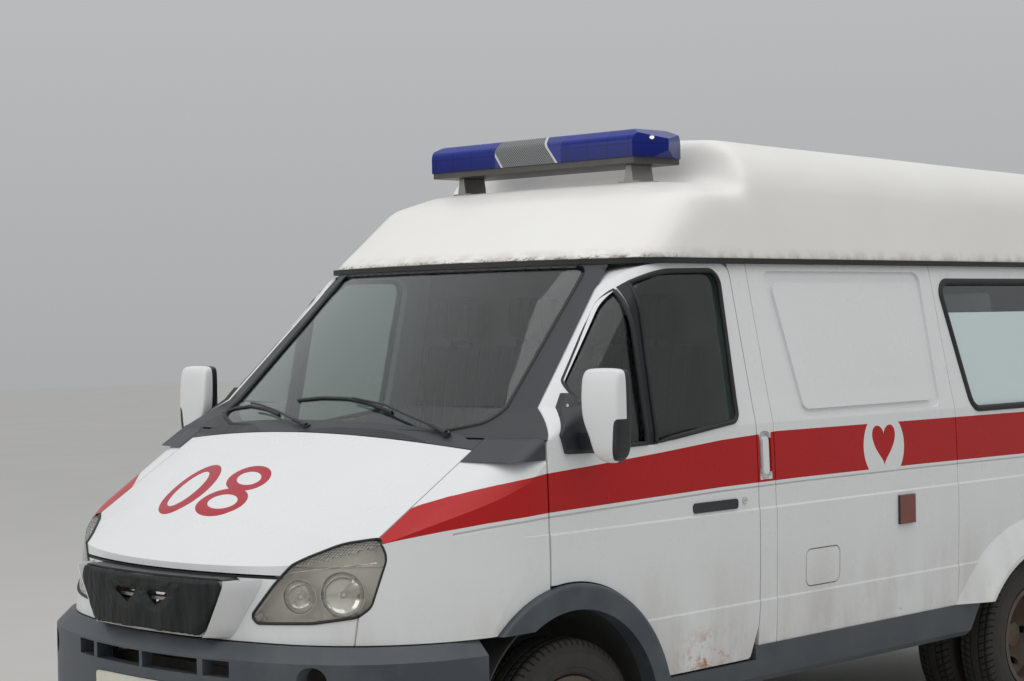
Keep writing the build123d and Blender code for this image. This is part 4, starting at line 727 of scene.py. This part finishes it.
# Door mirrors: a white painted shell with a dark corner insert and rear rim, on a black horn and foot
INSERT_LEAN = 0.10
INSERT_EDGE = 1.141
INSERT_TOP = 1.398
REAR_RIM = -1.667
mirror_shell, tree, shader, place = new_material("mirror_shell")
x, y, z = axes(tree, place)
reach = size_of(tree, x)
slant = minus(tree, reach, times(tree, minus(tree, z, 1.30), INSERT_LEAN))
insert = times(tree, above(tree, slant, INSERT_EDGE), below(tree, z, INSERT_TOP))
shoulder = times(tree, above(tree, reach, 1.168), below(tree, z, 1.417))
corner = ellipse(tree, reach, z, (1.170, 1.397), (0.018, 0.020), (1, 0))
insert = either(tree, insert, either(tree, shoulder, corner))
rim = above(tree, y, REAR_RIM)
white = minus(tree, 1, either(tree, insert, rim))
dark = mix(tree, noise(tree, place, 20, 4), (0.010, 0.011, 0.014, 1), (0.026, 0.027, 0.030, 1))
shell = mix(tree, noise(tree, place, 4, 4), WHITE, SHADED_WHITE)
feed(tree, shader, "Base Color", mix(tree, white, dark, shell))
feed(tree, shader, "Roughness", ramp(tree, white, 0, 1, 0.42, 0.28))
bump(tree, shader, noise(tree, place, 700, 2), 0.0001, 0.4)

chrome, tree, shader, place = new_material("bright_metal")
feed(tree, shader, "Metallic", 1.0)
colour = mix(tree, noise(tree, place, 30, 4), (0.78, 0.78, 0.76, 1), (0.60, 0.60, 0.58, 1))
feed(tree, shader, "Base Color", colour)
feed(tree, shader, "Roughness", ramp(tree, noise(tree, place, 45, 4), 0.3, 0.8, 0.05, 0.20))


def plate(name, centre, size, corner, rim, facing, material, body, sunk=0.0012):
    """Thin plate with rounded corners and a raised rim, standing on a panel and facing one way."""
    piece = started(name, bpy.ops.mesh.primitive_cube_add, size=1, location=centre, scale=size)
    bpy.ops.object.transform_apply(location=True, rotation=False, scale=True)
    piece.location = (0, 0, 0)
    facing = Vector(facing)
    points = piece.data.vertices

    def upright(edge):
        run = (points[edge.vertices[0]].co - points[edge.vertices[1]].co).normalized()
        return abs(run.dot(facing)) > 0.9

    pick(piece, "EDGE", upright)
    bpy.ops.mesh.bevel(offset=corner, segments=5)
    pick(piece, "FACE", lambda face: face.normal.dot(facing) > 0.9)
    bpy.ops.mesh.inset(thickness=rim)
    bpy.ops.transform.translate(value=-facing * sunk)
    return settle(piece, material, body)


for side, name in ((1, "left"), (-1, "right")):
    plate(
        f"mirror_glass_{name}", (side * 1.088, -1.6335, 1.428), (0.138, 0.003, 0.280), 0.030, 0.003,
        (0, 1, 0), chrome, f"front_door_{name}", 0.0005,
    )
    # Blank dark badge, low on each front door
    plate(
        f"door_badge_{name}", (side * 0.9765, -0.9685, 1.0705), (0.006, 0.252, 0.036), 0.012, 0.003,
        (side, 0, 0), black_trim, f"front_door_{name}",
    )


def knob(name, centre, radius, depth, facing, material, body, sides=24):
    """Short turned boss with a chamfered rim and a dished face."""
    piece = started(name, bpy.ops.mesh.primitive_cylinder_add, vertices=sides, radius=radius, depth=depth)
    facing = Vector(facing)
    pick(piece, "FACE", lambda face: face.normal.z > 0.9)
    bpy.ops.mesh.inset(thickness=radius * 0.18)
    bpy.ops.transform.translate(value=(0, 0, depth * 0.18))
    bpy.ops.mesh.inset(thickness=radius * 0.35)
    bpy.ops.transform.translate(value=(0, 0, -depth * 0.25))
    bpy.ops.object.mode_set(mode="OBJECT")
    piece.rotation_euler = facing.to_track_quat("Z", "Y").to_euler()
    piece.location = centre
    bpy.ops.object.shade_smooth_by_angle(angle=0.6)
    return settle(piece, material, body)


# The head is a stack of box rings, narrow at the foot, that a subdivision rounds.
# Each level has its height, its inner and outer edge and its front.
MIRROR_LEVELS = [
    (1.276, 1.090, 1.132, -1.688), (1.284, 1.066, 1.152, -1.698), (1.312, 1.048, 1.169, -1.706),
    (1.356, 1.038, 1.173, -1.708), (1.396, 1.016, 1.174, -1.709), (1.440, 1.005, 1.174, -1.710),
    (1.530, 1.003, 1.173, -1.706), (1.566, 1.006, 1.170, -1.698), (1.582, 1.018, 1.158, -1.686),
]
HEAD_MIDDLE = (1.088, -1.671)
HEAD_BACK = -1.6340
HORN_END = 1.0035
HORN_INTO_HEAD = 0.052


def rise_of(piece, edge):
    """Difference in height between the ends of an edge."""
    first, second = (piece.data.vertices[number].co for number in edge.vertices)
    return abs(first.z - second.z)


for side, name in ((1, "left"), (-1, "right")):
    horn = copy_of(f"mirror_{name}", f"mirror_horn_{name}")
    cut_away(horn, lambda face: abs(face.center.x) > HORN_END)
    bpy.ops.mesh.region_to_loop()
    bpy.ops.mesh.edge_face_add()
    bpy.ops.mesh.extrude_region_move(TRANSFORM_OT_translate={"value": (side * HORN_INTO_HEAD, 0, 0)})
    settle(horn, black_trim, f"front_door_{name}")
    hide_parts(f"mirror_{name}")
    knob(
        f"horn_screw_{name}", (side * 0.916, -1.669, 1.456), 0.005, 0.004, (side * 0.5, -0.85, 0.1),
        chrome, f"front_door_{name}", 12,
    )
    foot_place = (side * HEAD_MIDDLE[0], HEAD_MIDDLE[1], 1.274)
    head = started(
        f"mirror_head_{name}", bpy.ops.mesh.primitive_cube_add, size=1, location=foot_place,
        scale=(0.168, 0.074, 0.004),
    )
    bpy.ops.object.transform_apply(location=True, rotation=False, scale=True)
    for low, high in zip(MIRROR_LEVELS, MIRROR_LEVELS[1:]):
        pick(head, "FACE", lambda face: face.normal.z > 0.9)
        bpy.ops.mesh.extrude_region_move(TRANSFORM_OT_translate={"value": (0, 0, high[0] - low[0])})
    bpy.ops.object.mode_set(mode="OBJECT")
    for vertex in head.data.vertices:
        level = min(MIRROR_LEVELS, key=lambda entry: abs(entry[0] - vertex.co.z))
        vertex.co.x = side * (level[1] if abs(vertex.co.x) < HEAD_MIDDLE[0] else level[2])
        vertex.co.y = level[3] if vertex.co.y < HEAD_MIDDLE[1] else HEAD_BACK
    pick(head, "EDGE", lambda edge: rise_of(head, edge) > 0.008)
    bpy.ops.mesh.bevel(offset=0.014, segments=2)
    bpy.ops.object.mode_set(mode="OBJECT")
    round_off = head.modifiers.new("round_off", "SUBSURF")
    round_off.levels = 3
    round_off.render_levels = 3
    bpy.ops.object.modifier_apply(modifier="round_off")
    bpy.ops.object.shade_smooth()
    settle(head, mirror_shell, f"front_door_{name}")


# Small parts of the doors: a round lock on each, a screw at the foot of each roof post, and the flap's lock
for side, name in ((1, "left"), (-1, "right")):
    knob(
        f"door_lock_{name}", (side * 0.977, -0.803, 1.079), 0.013, 0.008, (side, 0, 0),
        chrome, f"front_door_{name}",
    )
    knob(
        f"post_screw_{name}", (side * 0.7185, -1.254, 1.921), 0.006, 0.004, (side * 0.5, -0.7, 0.4),
        black_trim, "body", 12,
    )
knob(
    "flap_lock", (0.9625, -0.306, 0.826), 0.007, 0.005, (1, 0, 0), black_trim, "fuel_flap", 12,
)


# Headlamps: a clear lens sealed with a black line over a pale tray, with two bright bowls and their bulbs
# turned outwards in it, and a ribbed turn signal band above a bright divider.
# The tray is the lens's inner skin, set back and walled forwards to the lens.
SIGNAL_FOOT = 0.978
lamp_lens, tree, shader, place = new_material("lamp_lens")
x, y, z = axes(tree, place)
feed(tree, shader, "Base Color", (0.95, 0.94, 0.90, 1))
feed(tree, shader, "Transmission Weight", 0.95)
feed(tree, shader, "Roughness", 0.03)
feed(tree, shader, "IOR", 1.35)
upper = ramp(tree, z, 0.975, 0.985)
ribs = wave(tree, x, 620)
fine = wave(tree, z, 900)
ribs = times(tree, times(tree, upper, plus(tree, ribs, fine)), 0.0006)
step = line_mask(tree, z, 0.979, 0.004)
bump(tree, shader, plus(tree, ribs, times(tree, step, 0.003)), 1.0)
give(lamp_lens, "headlamp_lenses")

lamp_body, tree, shader, place = new_material("lamp_housing")
x, y, z = axes(tree, place)
cloud = noise(tree, place, 22, 5)
low_part = mix(tree, cloud, (0.84, 0.82, 0.75, 1), (0.96, 0.94, 0.88, 1))
high_part = mix(tree, noise(tree, place, 60, 6), (0.74, 0.71, 0.63, 1), (0.97, 0.95, 0.88, 1))
feed(tree, shader, "Base Color", mix(tree, above(tree, z, SIGNAL_FOOT), low_part, high_part))
feed(tree, shader, "Metallic", 0.0)
feed(tree, shader, "Roughness", 0.35)
bump(tree, shader, noise(tree, place, 60, 4), 0.0006, 0.5)
LAMP_FACING = Vector((0.50, -0.866, 0.0))
TRAY_DEPTH = 0.070
TRAY_WALL = 0.066
BOWL_DEPTH = 0.044
LAMP_BOWLS = [((0.573, -2.550, 0.886), 0.056), ((0.693, -2.476, 0.894), 0.074)]
LAMP_DIVIDER = [
    (0.470, -2.598, 0.938), (0.552, -2.566, 0.962), (0.668, -2.499, 0.979), (0.776, -2.405, 0.992),
]
lens_skin = nodes["headlamp_lenses"]
trays = []
for side, side_name in ((1, "left"), (-1, "right")):
    facing = Vector((side * LAMP_FACING.x, LAMP_FACING.y, 0))
    tray = copy_of("headlamp_lenses", "tray")

    def not_inner(face):
        """True for every face but those of the lens's inner skin on this side."""
        if face.center.x * side < 0:
            return True
        start = face.center - face.normal * 0.0004
        met, where, _, _ = lens_skin.ray_cast(start, -face.normal, distance=THICKEST_PANE)
        return not met or (where - face.center).dot(facing) < THINNEST_PANE

    cut_away(tray, not_inner)
    bpy.ops.mesh.flip_normals()
    bpy.ops.transform.translate(value=-facing * TRAY_DEPTH)
    bpy.ops.mesh.region_to_loop()
    bpy.ops.mesh.extrude_region_move(TRANSFORM_OT_translate={"value": facing * TRAY_WALL})
    bpy.ops.object.mode_set(mode="OBJECT")
    trays.append(tray)
    edge_bead("headlamp_lenses", f"lamp_seal_{side_name}", (side * 0.5, -0.8, 0.2), 0.010, 0.0012, "body")
    divider = rod(f"lamp_divider_{side_name}", [(side * x, y, z) for x, y, z in LAMP_DIVIDER], 0.005)
    settle(divider, chrome, "body")
    for number, (centre, bowl_r) in enumerate(LAMP_BOWLS):
        bowl = started(
            f"lamp_bowl_{side_name}_{number}", bpy.ops.mesh.primitive_uv_sphere_add, segments=40,
            ring_count=24, radius=1,
        )
        cut_away(bowl, lambda face: face.center.z > 0.01)
        bpy.ops.object.mode_set(mode="OBJECT")
        middle = Vector((side * centre[0], centre[1], centre[2]))
        bowl.scale = (bowl_r, bowl_r, BOWL_DEPTH)
        bowl.rotation_euler = facing.to_track_quat("Z", "Y").to_euler()
        bowl.location = middle
        bpy.ops.object.transform_apply(location=True, rotation=True, scale=True)
        thicken(bowl, 0.0025)
        bpy.ops.object.shade_smooth_by_angle(angle=0.8)
        settle(bowl, chrome, "body")
        knob(
            f"lamp_bulb_{side_name}_{number}", tuple(middle - facing * 0.024), 0.013, 0.036, tuple(facing),
            chrome, "body",
        )
tray = joined("lamp_trays", trays)
thicken(tray, 0.002)
settle(tray, lamp_body, "body")
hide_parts("headlamps")


# Grille: a pale plastic surround with bright slats, with painted shade along its upper edge under the bonnet
grille_plastic, tree, shader, place = new_material("grille_plastic")
film = ramp(tree, noise(tree, place, 12.0, 6, 0.6), 0.35, 0.75)
x, y, z = axes(tree, place)
rim = mix(tree, film, (0.50, 0.49, 0.45, 1), (0.30, 0.28, 0.25, 1))
# Painted shade: the surround is painted near black above this height, under the bonnet's front edge
feed(tree, shader, "Base Color", mix(tree, above(tree, z, 0.934), rim, (0.012, 0.012, 0.013, 1)))
feed(tree, shader, "Roughness", 0.38)
give(grille_plastic, "grille")

# White flare that carries the nose panel forward to the edge of the surround, on each side
FLARE_REACH = 0.062
FLARE_FRONT = -2.716
FLARE_FOOT = 0.752
FLARE_HEIGHT = 0.186
FLARE_CROWN = 0.006
PANEL_BESIDE = -2.63
BACKWARD = Vector((0, 1, 0))
for side, name in ((1, "left"), (-1, "right")):
    flare = started(
        f"grille_flare_{name}", bpy.ops.mesh.primitive_grid_add, x_subdivisions=5, y_subdivisions=12, size=2,
    )
    for vertex in flare.data.vertices:
        run, rise = (vertex.co.x + 1) / 2, (vertex.co.y + 1) / 2
        height = FLARE_FOOT + FLARE_HEIGHT * rise
        inner = 0.298 + 0.112 * (height - 0.753) / 0.190 - 0.010 * abs(2 * rise - 1) ** 8
        across = inner + FLARE_REACH * run
        ahead = Vector((side * (inner + FLARE_REACH), -3.2, height))
        met, where, _, _ = nodes["nose_panel"].ray_cast(ahead, BACKWARD)
        foot_y = where.y if met else PANEL_BESIDE
        crown = FLARE_CROWN * math.sin(math.pi * run)
        vertex.co = (side * across, FLARE_FRONT + (foot_y - FLARE_FRONT) * run - crown, height)
    bpy.ops.object.transform_apply(location=True, rotation=False, scale=True)
    thicken(flare, 0.003, 0)
    pick(flare, "FACE", lambda face: True)
    bpy.ops.mesh.normals_make_consistent(inside=False)
    bpy.ops.object.mode_set(mode="OBJECT")
    bpy.ops.object.shade_smooth_by_angle(angle=0.7)
    settle(flare, plain_paint, "body")


# Winter cover: quilted vinyl over thin padding, strapped over the grille, with two openings for air.
# A short cloth simulation stuffs it, then folds and seams are pressed into its front.
vinyl, tree, shader, place = new_material("cover_vinyl")
worn = ramp(tree, noise(tree, place, 14, 8, 0.7, (1.0, 1.0, 0.5)), 0.50, 0.78)
feed(tree, shader, "Base Color", mix(tree, worn, (0.007, 0.008, 0.009, 1), (0.022, 0.019, 0.015, 1)))
feed(tree, shader, "Roughness", ramp(tree, worn, 0, 1, 0.46, 0.70))
feed(tree, shader, "Specular IOR Level", 0.28)
bump(tree, shader, noise(tree, place, 240, 4), 0.0006, 0.7)
cover = copy_of("grille_cover", "quilted_cover")
remesh(cover, 0.0042)
rest_places = [vertex.co.copy() for vertex in cover.data.vertices]
cloth = cover.modifiers.new("stuffing", "CLOTH")
cloth.settings.use_pressure = True
cloth.settings.uniform_pressure_force = 4
cloth.settings.effector_weights.gravity = 0
for step_frame in range(1, 13):
    bpy.context.scene.frame_set(step_frame)
bpy.ops.object.modifier_apply(modifier="stuffing")
bpy.context.scene.frame_set(1)
MOST_SWELL = 0.006
COVER_FRONT = -2.69
BROAD_FOLD, FINE_FOLD = 0.0055, 0.0022
SEAM_WIDTH, SEAM_DEPTH = 0.16, 0.0022
OPENING_TOP, BROW_SWELL = 0.895, 0.003
DEEPEST_CREASE, HIGHEST_FOLD = 0.003, 0.0065
for vertex, rest_place in zip(cover.data.vertices, rest_places):
    moved = vertex.co - rest_place
    if moved.length > MOST_SWELL:
        moved = moved.normalized() * MOST_SWELL
    vertex.co = rest_place + moved
    if vertex.co.y < COVER_FRONT:
        x, z = vertex.co.x, vertex.co.z
        folds = waves.noise(Vector((x * 16, 0.3, z * 7))) * BROAD_FOLD
        folds += waves.noise(Vector((x * 45, 1.7, z * 14))) * FINE_FOLD
        seam = min(abs(math.sin(x * 34 + 1.3 * math.sin(z * 22))) / SEAM_WIDTH, 1)
        folds -= (1 - seam) * SEAM_DEPTH
        brow = abs(z - (OPENING_TOP + 0.05 * abs(x)))
        folds += BROW_SWELL * math.exp(-(brow / 0.010) ** 2) if 0.02 < abs(x) < 0.20 else 0
        vertex.co.y -= min(max(folds + 0.0015, -DEEPEST_CREASE), HIGHEST_FOLD)
select_only(cover)
bpy.ops.object.shade_smooth()
settle(cover, vinyl, "body")
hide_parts("grille_cover")


# Marker lamps: a brown-red reflector on each side and tail lamps in red, amber and white at the rear
TAIL_RED_FOOT = 0.90
TAIL_AMBER_FOOT = 1.01
REFLECTOR_BEZEL = 0.9885
REAR_END = 2.0
marker_plastic, tree, shader, place = new_material("marker_plastic")
x, y, z = axes(tree, place)
tail = mix(tree, above(tree, z, TAIL_RED_FOOT), (0.60, 0.58, 0.55, 1), (0.42, 0.008, 0.008, 1))
tail = mix(tree, above(tree, z, TAIL_AMBER_FOOT), tail, (0.62, 0.16, 0.01, 1))
cube = mix(tree, noise(tree, place, 12, 4), (0.17, 0.048, 0.036, 1), (0.22, 0.070, 0.052, 1))
edge = below(tree, size_of(tree, x), REFLECTOR_BEZEL)
cube = mix(tree, edge, cube, (0.030, 0.022, 0.020, 1))
feed(tree, shader, "Base Color", mix(tree, above(tree, y, REAR_END), cube, tail))
feed(tree, shader, "Roughness", 0.22)
prisms = times(tree, wave(tree, x, 900), wave(tree, z, 900))
bump(tree, shader, prisms, 0.0004, 0.5)
give(marker_plastic, "marker_lamps")


# Light bar: deep blue domes over the lamps, a perforated speaker grille between them, on an alloy rail
DOME_FOOT = 2.344
DOME_TOP = 2.452
LAMP_PITCH = 0.052
blue_dome, tree, shader, place = new_material("blue_dome")
x, y, z = axes(tree, place)
bars = line_mask(tree, maths(tree, "PINGPONG", size_of(tree, x), LAMP_PITCH), 0.0, 0.006)
sill = line_mask(tree, z, 2.394, 0.005)
inner = either(tree, bars, sill)
# Painted light: the blue grows lighter towards the tops of the domes, as if lit from above
depth = mix(tree, ramp(tree, z, DOME_FOOT, DOME_TOP), (0.004, 0.010, 0.130, 1), (0.008, 0.024, 0.260, 1))
depth = mix(tree, times(tree, inner, 0.55), depth, (0.003, 0.004, 0.060, 1))
feed(tree, shader, "Base Color", depth)
feed(tree, shader, "Roughness", 0.22)
feed(tree, shader, "Specular IOR Level", 0.22)
give(blue_dome, "light_bar_domes")

# Speaker grille between the domes: each slanted side passes a place across, at a height, with a lean
GRILLE_RIGHT = (-0.131, 2.331, -0.70)
GRILLE_LEFT = (0.161, 2.336, -0.80)
HOLE_PITCH = 560
RAIL_TOP = 2.3445
bar_alloy, tree, shader, place = new_material("bar_alloy")
x, y, z = axes(tree, place)
across = wave(tree, x, HOLE_PITCH)
upward = wave(tree, plus(tree, z, times(tree, y, 0.7)), HOLE_PITCH)
holes = above(tree, times(tree, across, upward), 0.05)
above_rail = above(tree, z, RAIL_TOP)
right_bound = plus(tree, GRILLE_RIGHT[0], times(tree, minus(tree, z, GRILLE_RIGHT[1]), GRILLE_RIGHT[2]))
left_bound = plus(tree, GRILLE_LEFT[0], times(tree, minus(tree, z, GRILLE_LEFT[1]), GRILLE_LEFT[2]))
within = times(tree, above(tree, x, right_bound), below(tree, x, left_bound))
middle = times(tree, above_rail, within)
blue_part = times(tree, above_rail, minus(tree, 1, within))
right_rim = line_mask(tree, minus(tree, x, right_bound), 0, 0.008)
left_rim = line_mask(tree, minus(tree, x, left_bound), 0, 0.008)
outline = times(tree, above_rail, ramp(tree, either(tree, right_rim, left_rim), 0.2, 0.4))
colour = mix(tree, noise(tree, place, 20, 4), (0.060, 0.055, 0.048, 1), (0.110, 0.105, 0.095, 1))
colour = mix(tree, below(tree, z, 2.320), colour, (0.30, 0.30, 0.29, 1))
colour = mix(tree, blue_part, colour, (0.006, 0.018, 0.210, 1))
colour = mix(tree, middle, colour, (0.24, 0.25, 0.25, 1))
# Painted shade: the holes of the speaker grille are painted dark
colour = mix(tree, times(tree, middle, holes), colour, (0.035, 0.037, 0.040, 1))
colour = mix(tree, outline, colour, (0.62, 0.63, 0.64, 1))
feed(tree, shader, "Base Color", colour)
feed(tree, shader, "Metallic", ramp(tree, above_rail, 0, 1, 0.5, 0.0))
feed(tree, shader, "Roughness", 0.40)
bump(tree, shader, times(tree, middle, holes), -0.0015, 0.8)
give(bar_alloy, "light_bar_base")
for side, name in ((1, "left"), (-1, "right")):
    knob(
        f"bar_screw_{name}", (side * 0.5735, -0.8115, 2.4145), 0.010, 0.006, (side * 0.6, -0.6, 0.5),
        chrome, "body", 16,
    )


# Wheels: ribbed van tyres with block shoulders on brown, rusty pressed-steel discs.
# The tread is cut into the rubber's relief, round the axle.
AXLE_HEIGHT = 0.342
TREAD_FOOT = (0.318, 0.326)
GROOVES = (0.019, 0.048)
SIDE_RINGS = (0.300, 0.250)
LUGS = 72


def tyre_rubber(name, axle_y, centres):
    """Dusty rubber whose tread is cut round the axle, with painted shade in its grooves."""
    made, tree, shader, place = new_material(name)
    x, y, z = axes(tree, place)
    run = minus(tree, y, axle_y)
    rise = minus(tree, z, AXLE_HEIGHT)
    reach = maths(tree, "SQRT", plus(tree, times(tree, run, run), times(tree, rise, rise)))
    turn = maths(tree, "ARCTAN2", rise, run)
    off = None
    for centre in centres:
        away = size_of(tree, minus(tree, size_of(tree, x), centre))
        off = away if off is None else maths(tree, "MINIMUM", off, away)
    tread = ramp(tree, reach, *TREAD_FOOT)
    rings = either(tree, line_mask(tree, off, GROOVES[0], 0.006), line_mask(tree, off, GROOVES[1], 0.007))
    lateral = wave(tree, plus(tree, times(tree, turn, LUGS), times(tree, off, 90)), 1.0)
    lateral = times(tree, ramp(tree, lateral, 0.60, 0.80), above(tree, off, 0.022))
    cut = times(tree, tread, either(tree, rings, lateral))
    side_rings = either(tree, *(line_mask(tree, reach, ring, 0.004) for ring in SIDE_RINGS))
    dust = noise(tree, place, 16, 6)
    colour = mix(tree, dust, (0.020, 0.020, 0.019, 1), (0.052, 0.048, 0.042, 1))
    # Painted shade: the tread grooves are painted near black
    colour = mix(tree, cut, colour, (0.004, 0.004, 0.004, 1))
    feed(tree, shader, "Base Color", colour)
    feed(tree, shader, "Roughness", 0.78)
    height = minus(tree, times(tree, side_rings, 0.002), times(tree, cut, 0.007))
    height = plus(tree, height, times(tree, noise(tree, place, 120, 3), 0.0006))
    bump(tree, shader, height, 1.0)
    return made


give(tyre_rubber("tyre_rubber_front", -1.7, (0.850,)), "tyre_front_left", "tyre_front_right")
give(tyre_rubber("tyre_rubber_rear", 1.2, (0.674, 0.886)), "tyres_rear_left", "tyres_rear_right")
wheel_steel, tree, shader, place = new_material("wheel_steel")
rusty = ramp(tree, noise(tree, place, 11, 8, 0.7), 0.42, 0.66)
fresh = mix(tree, noise(tree, place, 5, 3), (0.060, 0.052, 0.044, 1), (0.110, 0.095, 0.078, 1))
feed(tree, shader, "Base Color", mix(tree, rusty, fresh, (0.105, 0.058, 0.030, 1)))
feed(tree, shader, "Roughness", ramp(tree, rusty, 0, 1, 0.45, 0.80))
bump(tree, shader, noise(tree, place, 90, 5), 0.0008, 0.5)
give(wheel_steel, "rim_front_left", "rim_front_right", "rims_rear_left", "rims_rear_right")


# Underside: oily, dusty black steel, rusty exhaust and a black plastic tank
def road_metal(name, colour, dirt, rough):
    """Painted or bare metal under the body, with a crust of dry road dirt."""
    made, tree, shader, place = new_material(name)
    crust = ramp(tree, noise(tree, place, 9, 8, 0.7), 0.40, 0.65)
    feed(tree, shader, "Base Color", mix(tree, crust, colour, dirt))
    feed(tree, shader, "Roughness", ramp(tree, crust, 0, 1, rough, 0.92))
    bump(tree, shader, noise(tree, place, 70, 5), 0.0015, 0.6)
    return made


give(
    road_metal("chassis_black", (0.020, 0.019, 0.018, 1), (0.085, 0.070, 0.052, 1), 0.55),
    "chassis_frame", "leaf_springs", "front_axle", "rear_axle", "knuckle_left", "knuckle_right", "fuel_tank",
    "engine_block",
)
give(road_metal("exhaust_rust", (0.150, 0.065, 0.030, 1), (0.090, 0.080, 0.070, 1), 0.70), "exhaust")


# Cab inside: grained dark dashboard and wheel, rubber-matted floor and a pale partition board
dash_plastic = moulding("dash_plastic", (0.030, 0.030, 0.032, 1), (0.075, 0.073, 0.068, 1), 0.55, 500.0)
give(dash_plastic, "dashboard")
give(moulding("floor_mat", (0.040, 0.040, 0.040, 1), (0.110, 0.100, 0.085, 1), 0.75, 200.0), "floor_pan")
give(moulding("partition_board", (0.30, 0.29, 0.27, 1), (0.24, 0.23, 0.21, 1), 0.60, 200.0), "cab_partition")


# Seats: foam pads in ribbed grey-brown cloth, softened at every edge and creased where they are sat on
seat_cloth, tree, shader, place = new_material("seat_cloth")
x, y, z = axes(tree, place)
weave = times(tree, wave(tree, x, 1500), wave(tree, z, 1500))
ribs = line_mask(tree, maths(tree, "PINGPONG", x, 0.030), 0.0, 0.004)
cloth_tone = mix(tree, noise(tree, place, 9, 5), (0.060, 0.058, 0.056, 1), (0.100, 0.095, 0.088, 1))
# Painted shade: the grooves between the ribs are painted darker than the cloth
feed(tree, shader, "Base Color", mix(tree, ribs, cloth_tone, (0.030, 0.029, 0.028, 1)))
feed(tree, shader, "Roughness", 0.92)
feed(tree, shader, "Sheen Weight", 0.3)
bump(tree, shader, minus(tree, times(tree, weave, 0.0003), times(tree, ribs, 0.004)), 1.0)
seat_pads = copy_of("seats", "seat_pads")
remesh(seat_pads, 0.013)
soften = seat_pads.modifiers.new("soften", "SMOOTH")
soften.factor = 0.6
soften.iterations = 9
bpy.ops.object.modifier_apply(modifier="soften")
for vertex in seat_pads.data.vertices:
    lump = waves.noise(vertex.co * 9.0)
    vertex.co.z += 0.004 * lump
bpy.ops.object.shade_smooth()
settle(seat_pads, seat_cloth, "body")
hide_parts("seats")


# Rear doors: white pin hinges down each outer edge, and a dark pull handle with its lock by the middle gap.
# The pins are welded bars, and the handle is a moulded cup.
HINGE_FEET = (0.695, 1.185, 1.725)
HINGE_LENGTH = 0.090
for side, name in ((1, "left"), (-1, "right")):
    hinges = []
    for height in HINGE_FEET:
        foot = Vector((side * 0.886, 2.694, height))
        hinges.append(rod("hinge_pin", [foot, foot + Vector((0, 0, HINGE_LENGTH))], 0.022))
    settle(joined(f"rear_hinges_{name}", hinges), plain_paint, "body")
plate(
    "rear_handle", (-0.105, 2.7045, 1.035), (0.150, 0.009, 0.046), 0.016, 0.006, (0, 1, 0),
    black_trim, "rear_door_right", 0.003,
)
knob("rear_lock", (-0.105, 2.7035, 0.985), 0.012, 0.008, (0, 1, 0), chrome, "rear_door_right")


# Number plates: blank pressed plates with a raised dark edge, in the bumper's recess and on a rear door
plate_paint, tree, shader, place = new_material("plate_paint")
colour = mix(tree, noise(tree, place, 18, 5), (0.74, 0.72, 0.64, 1), (0.60, 0.57, 0.48, 1))
feed(tree, shader, "Base Color", colour)
feed(tree, shader, "Roughness", 0.35)
PLATE_SIZE = (0.520, 0.006, 0.112)
plate(
    "front_plate", (0.0, -2.7425, 0.540), PLATE_SIZE, 0.012, 0.005, (0, -1, 0), plate_paint, "body",
)
plate(
    "rear_plate", (0.420, 2.7035, 0.900), PLATE_SIZE, 0.012, 0.005, (0, 1, 0), plate_paint, "rear_door_left",
)
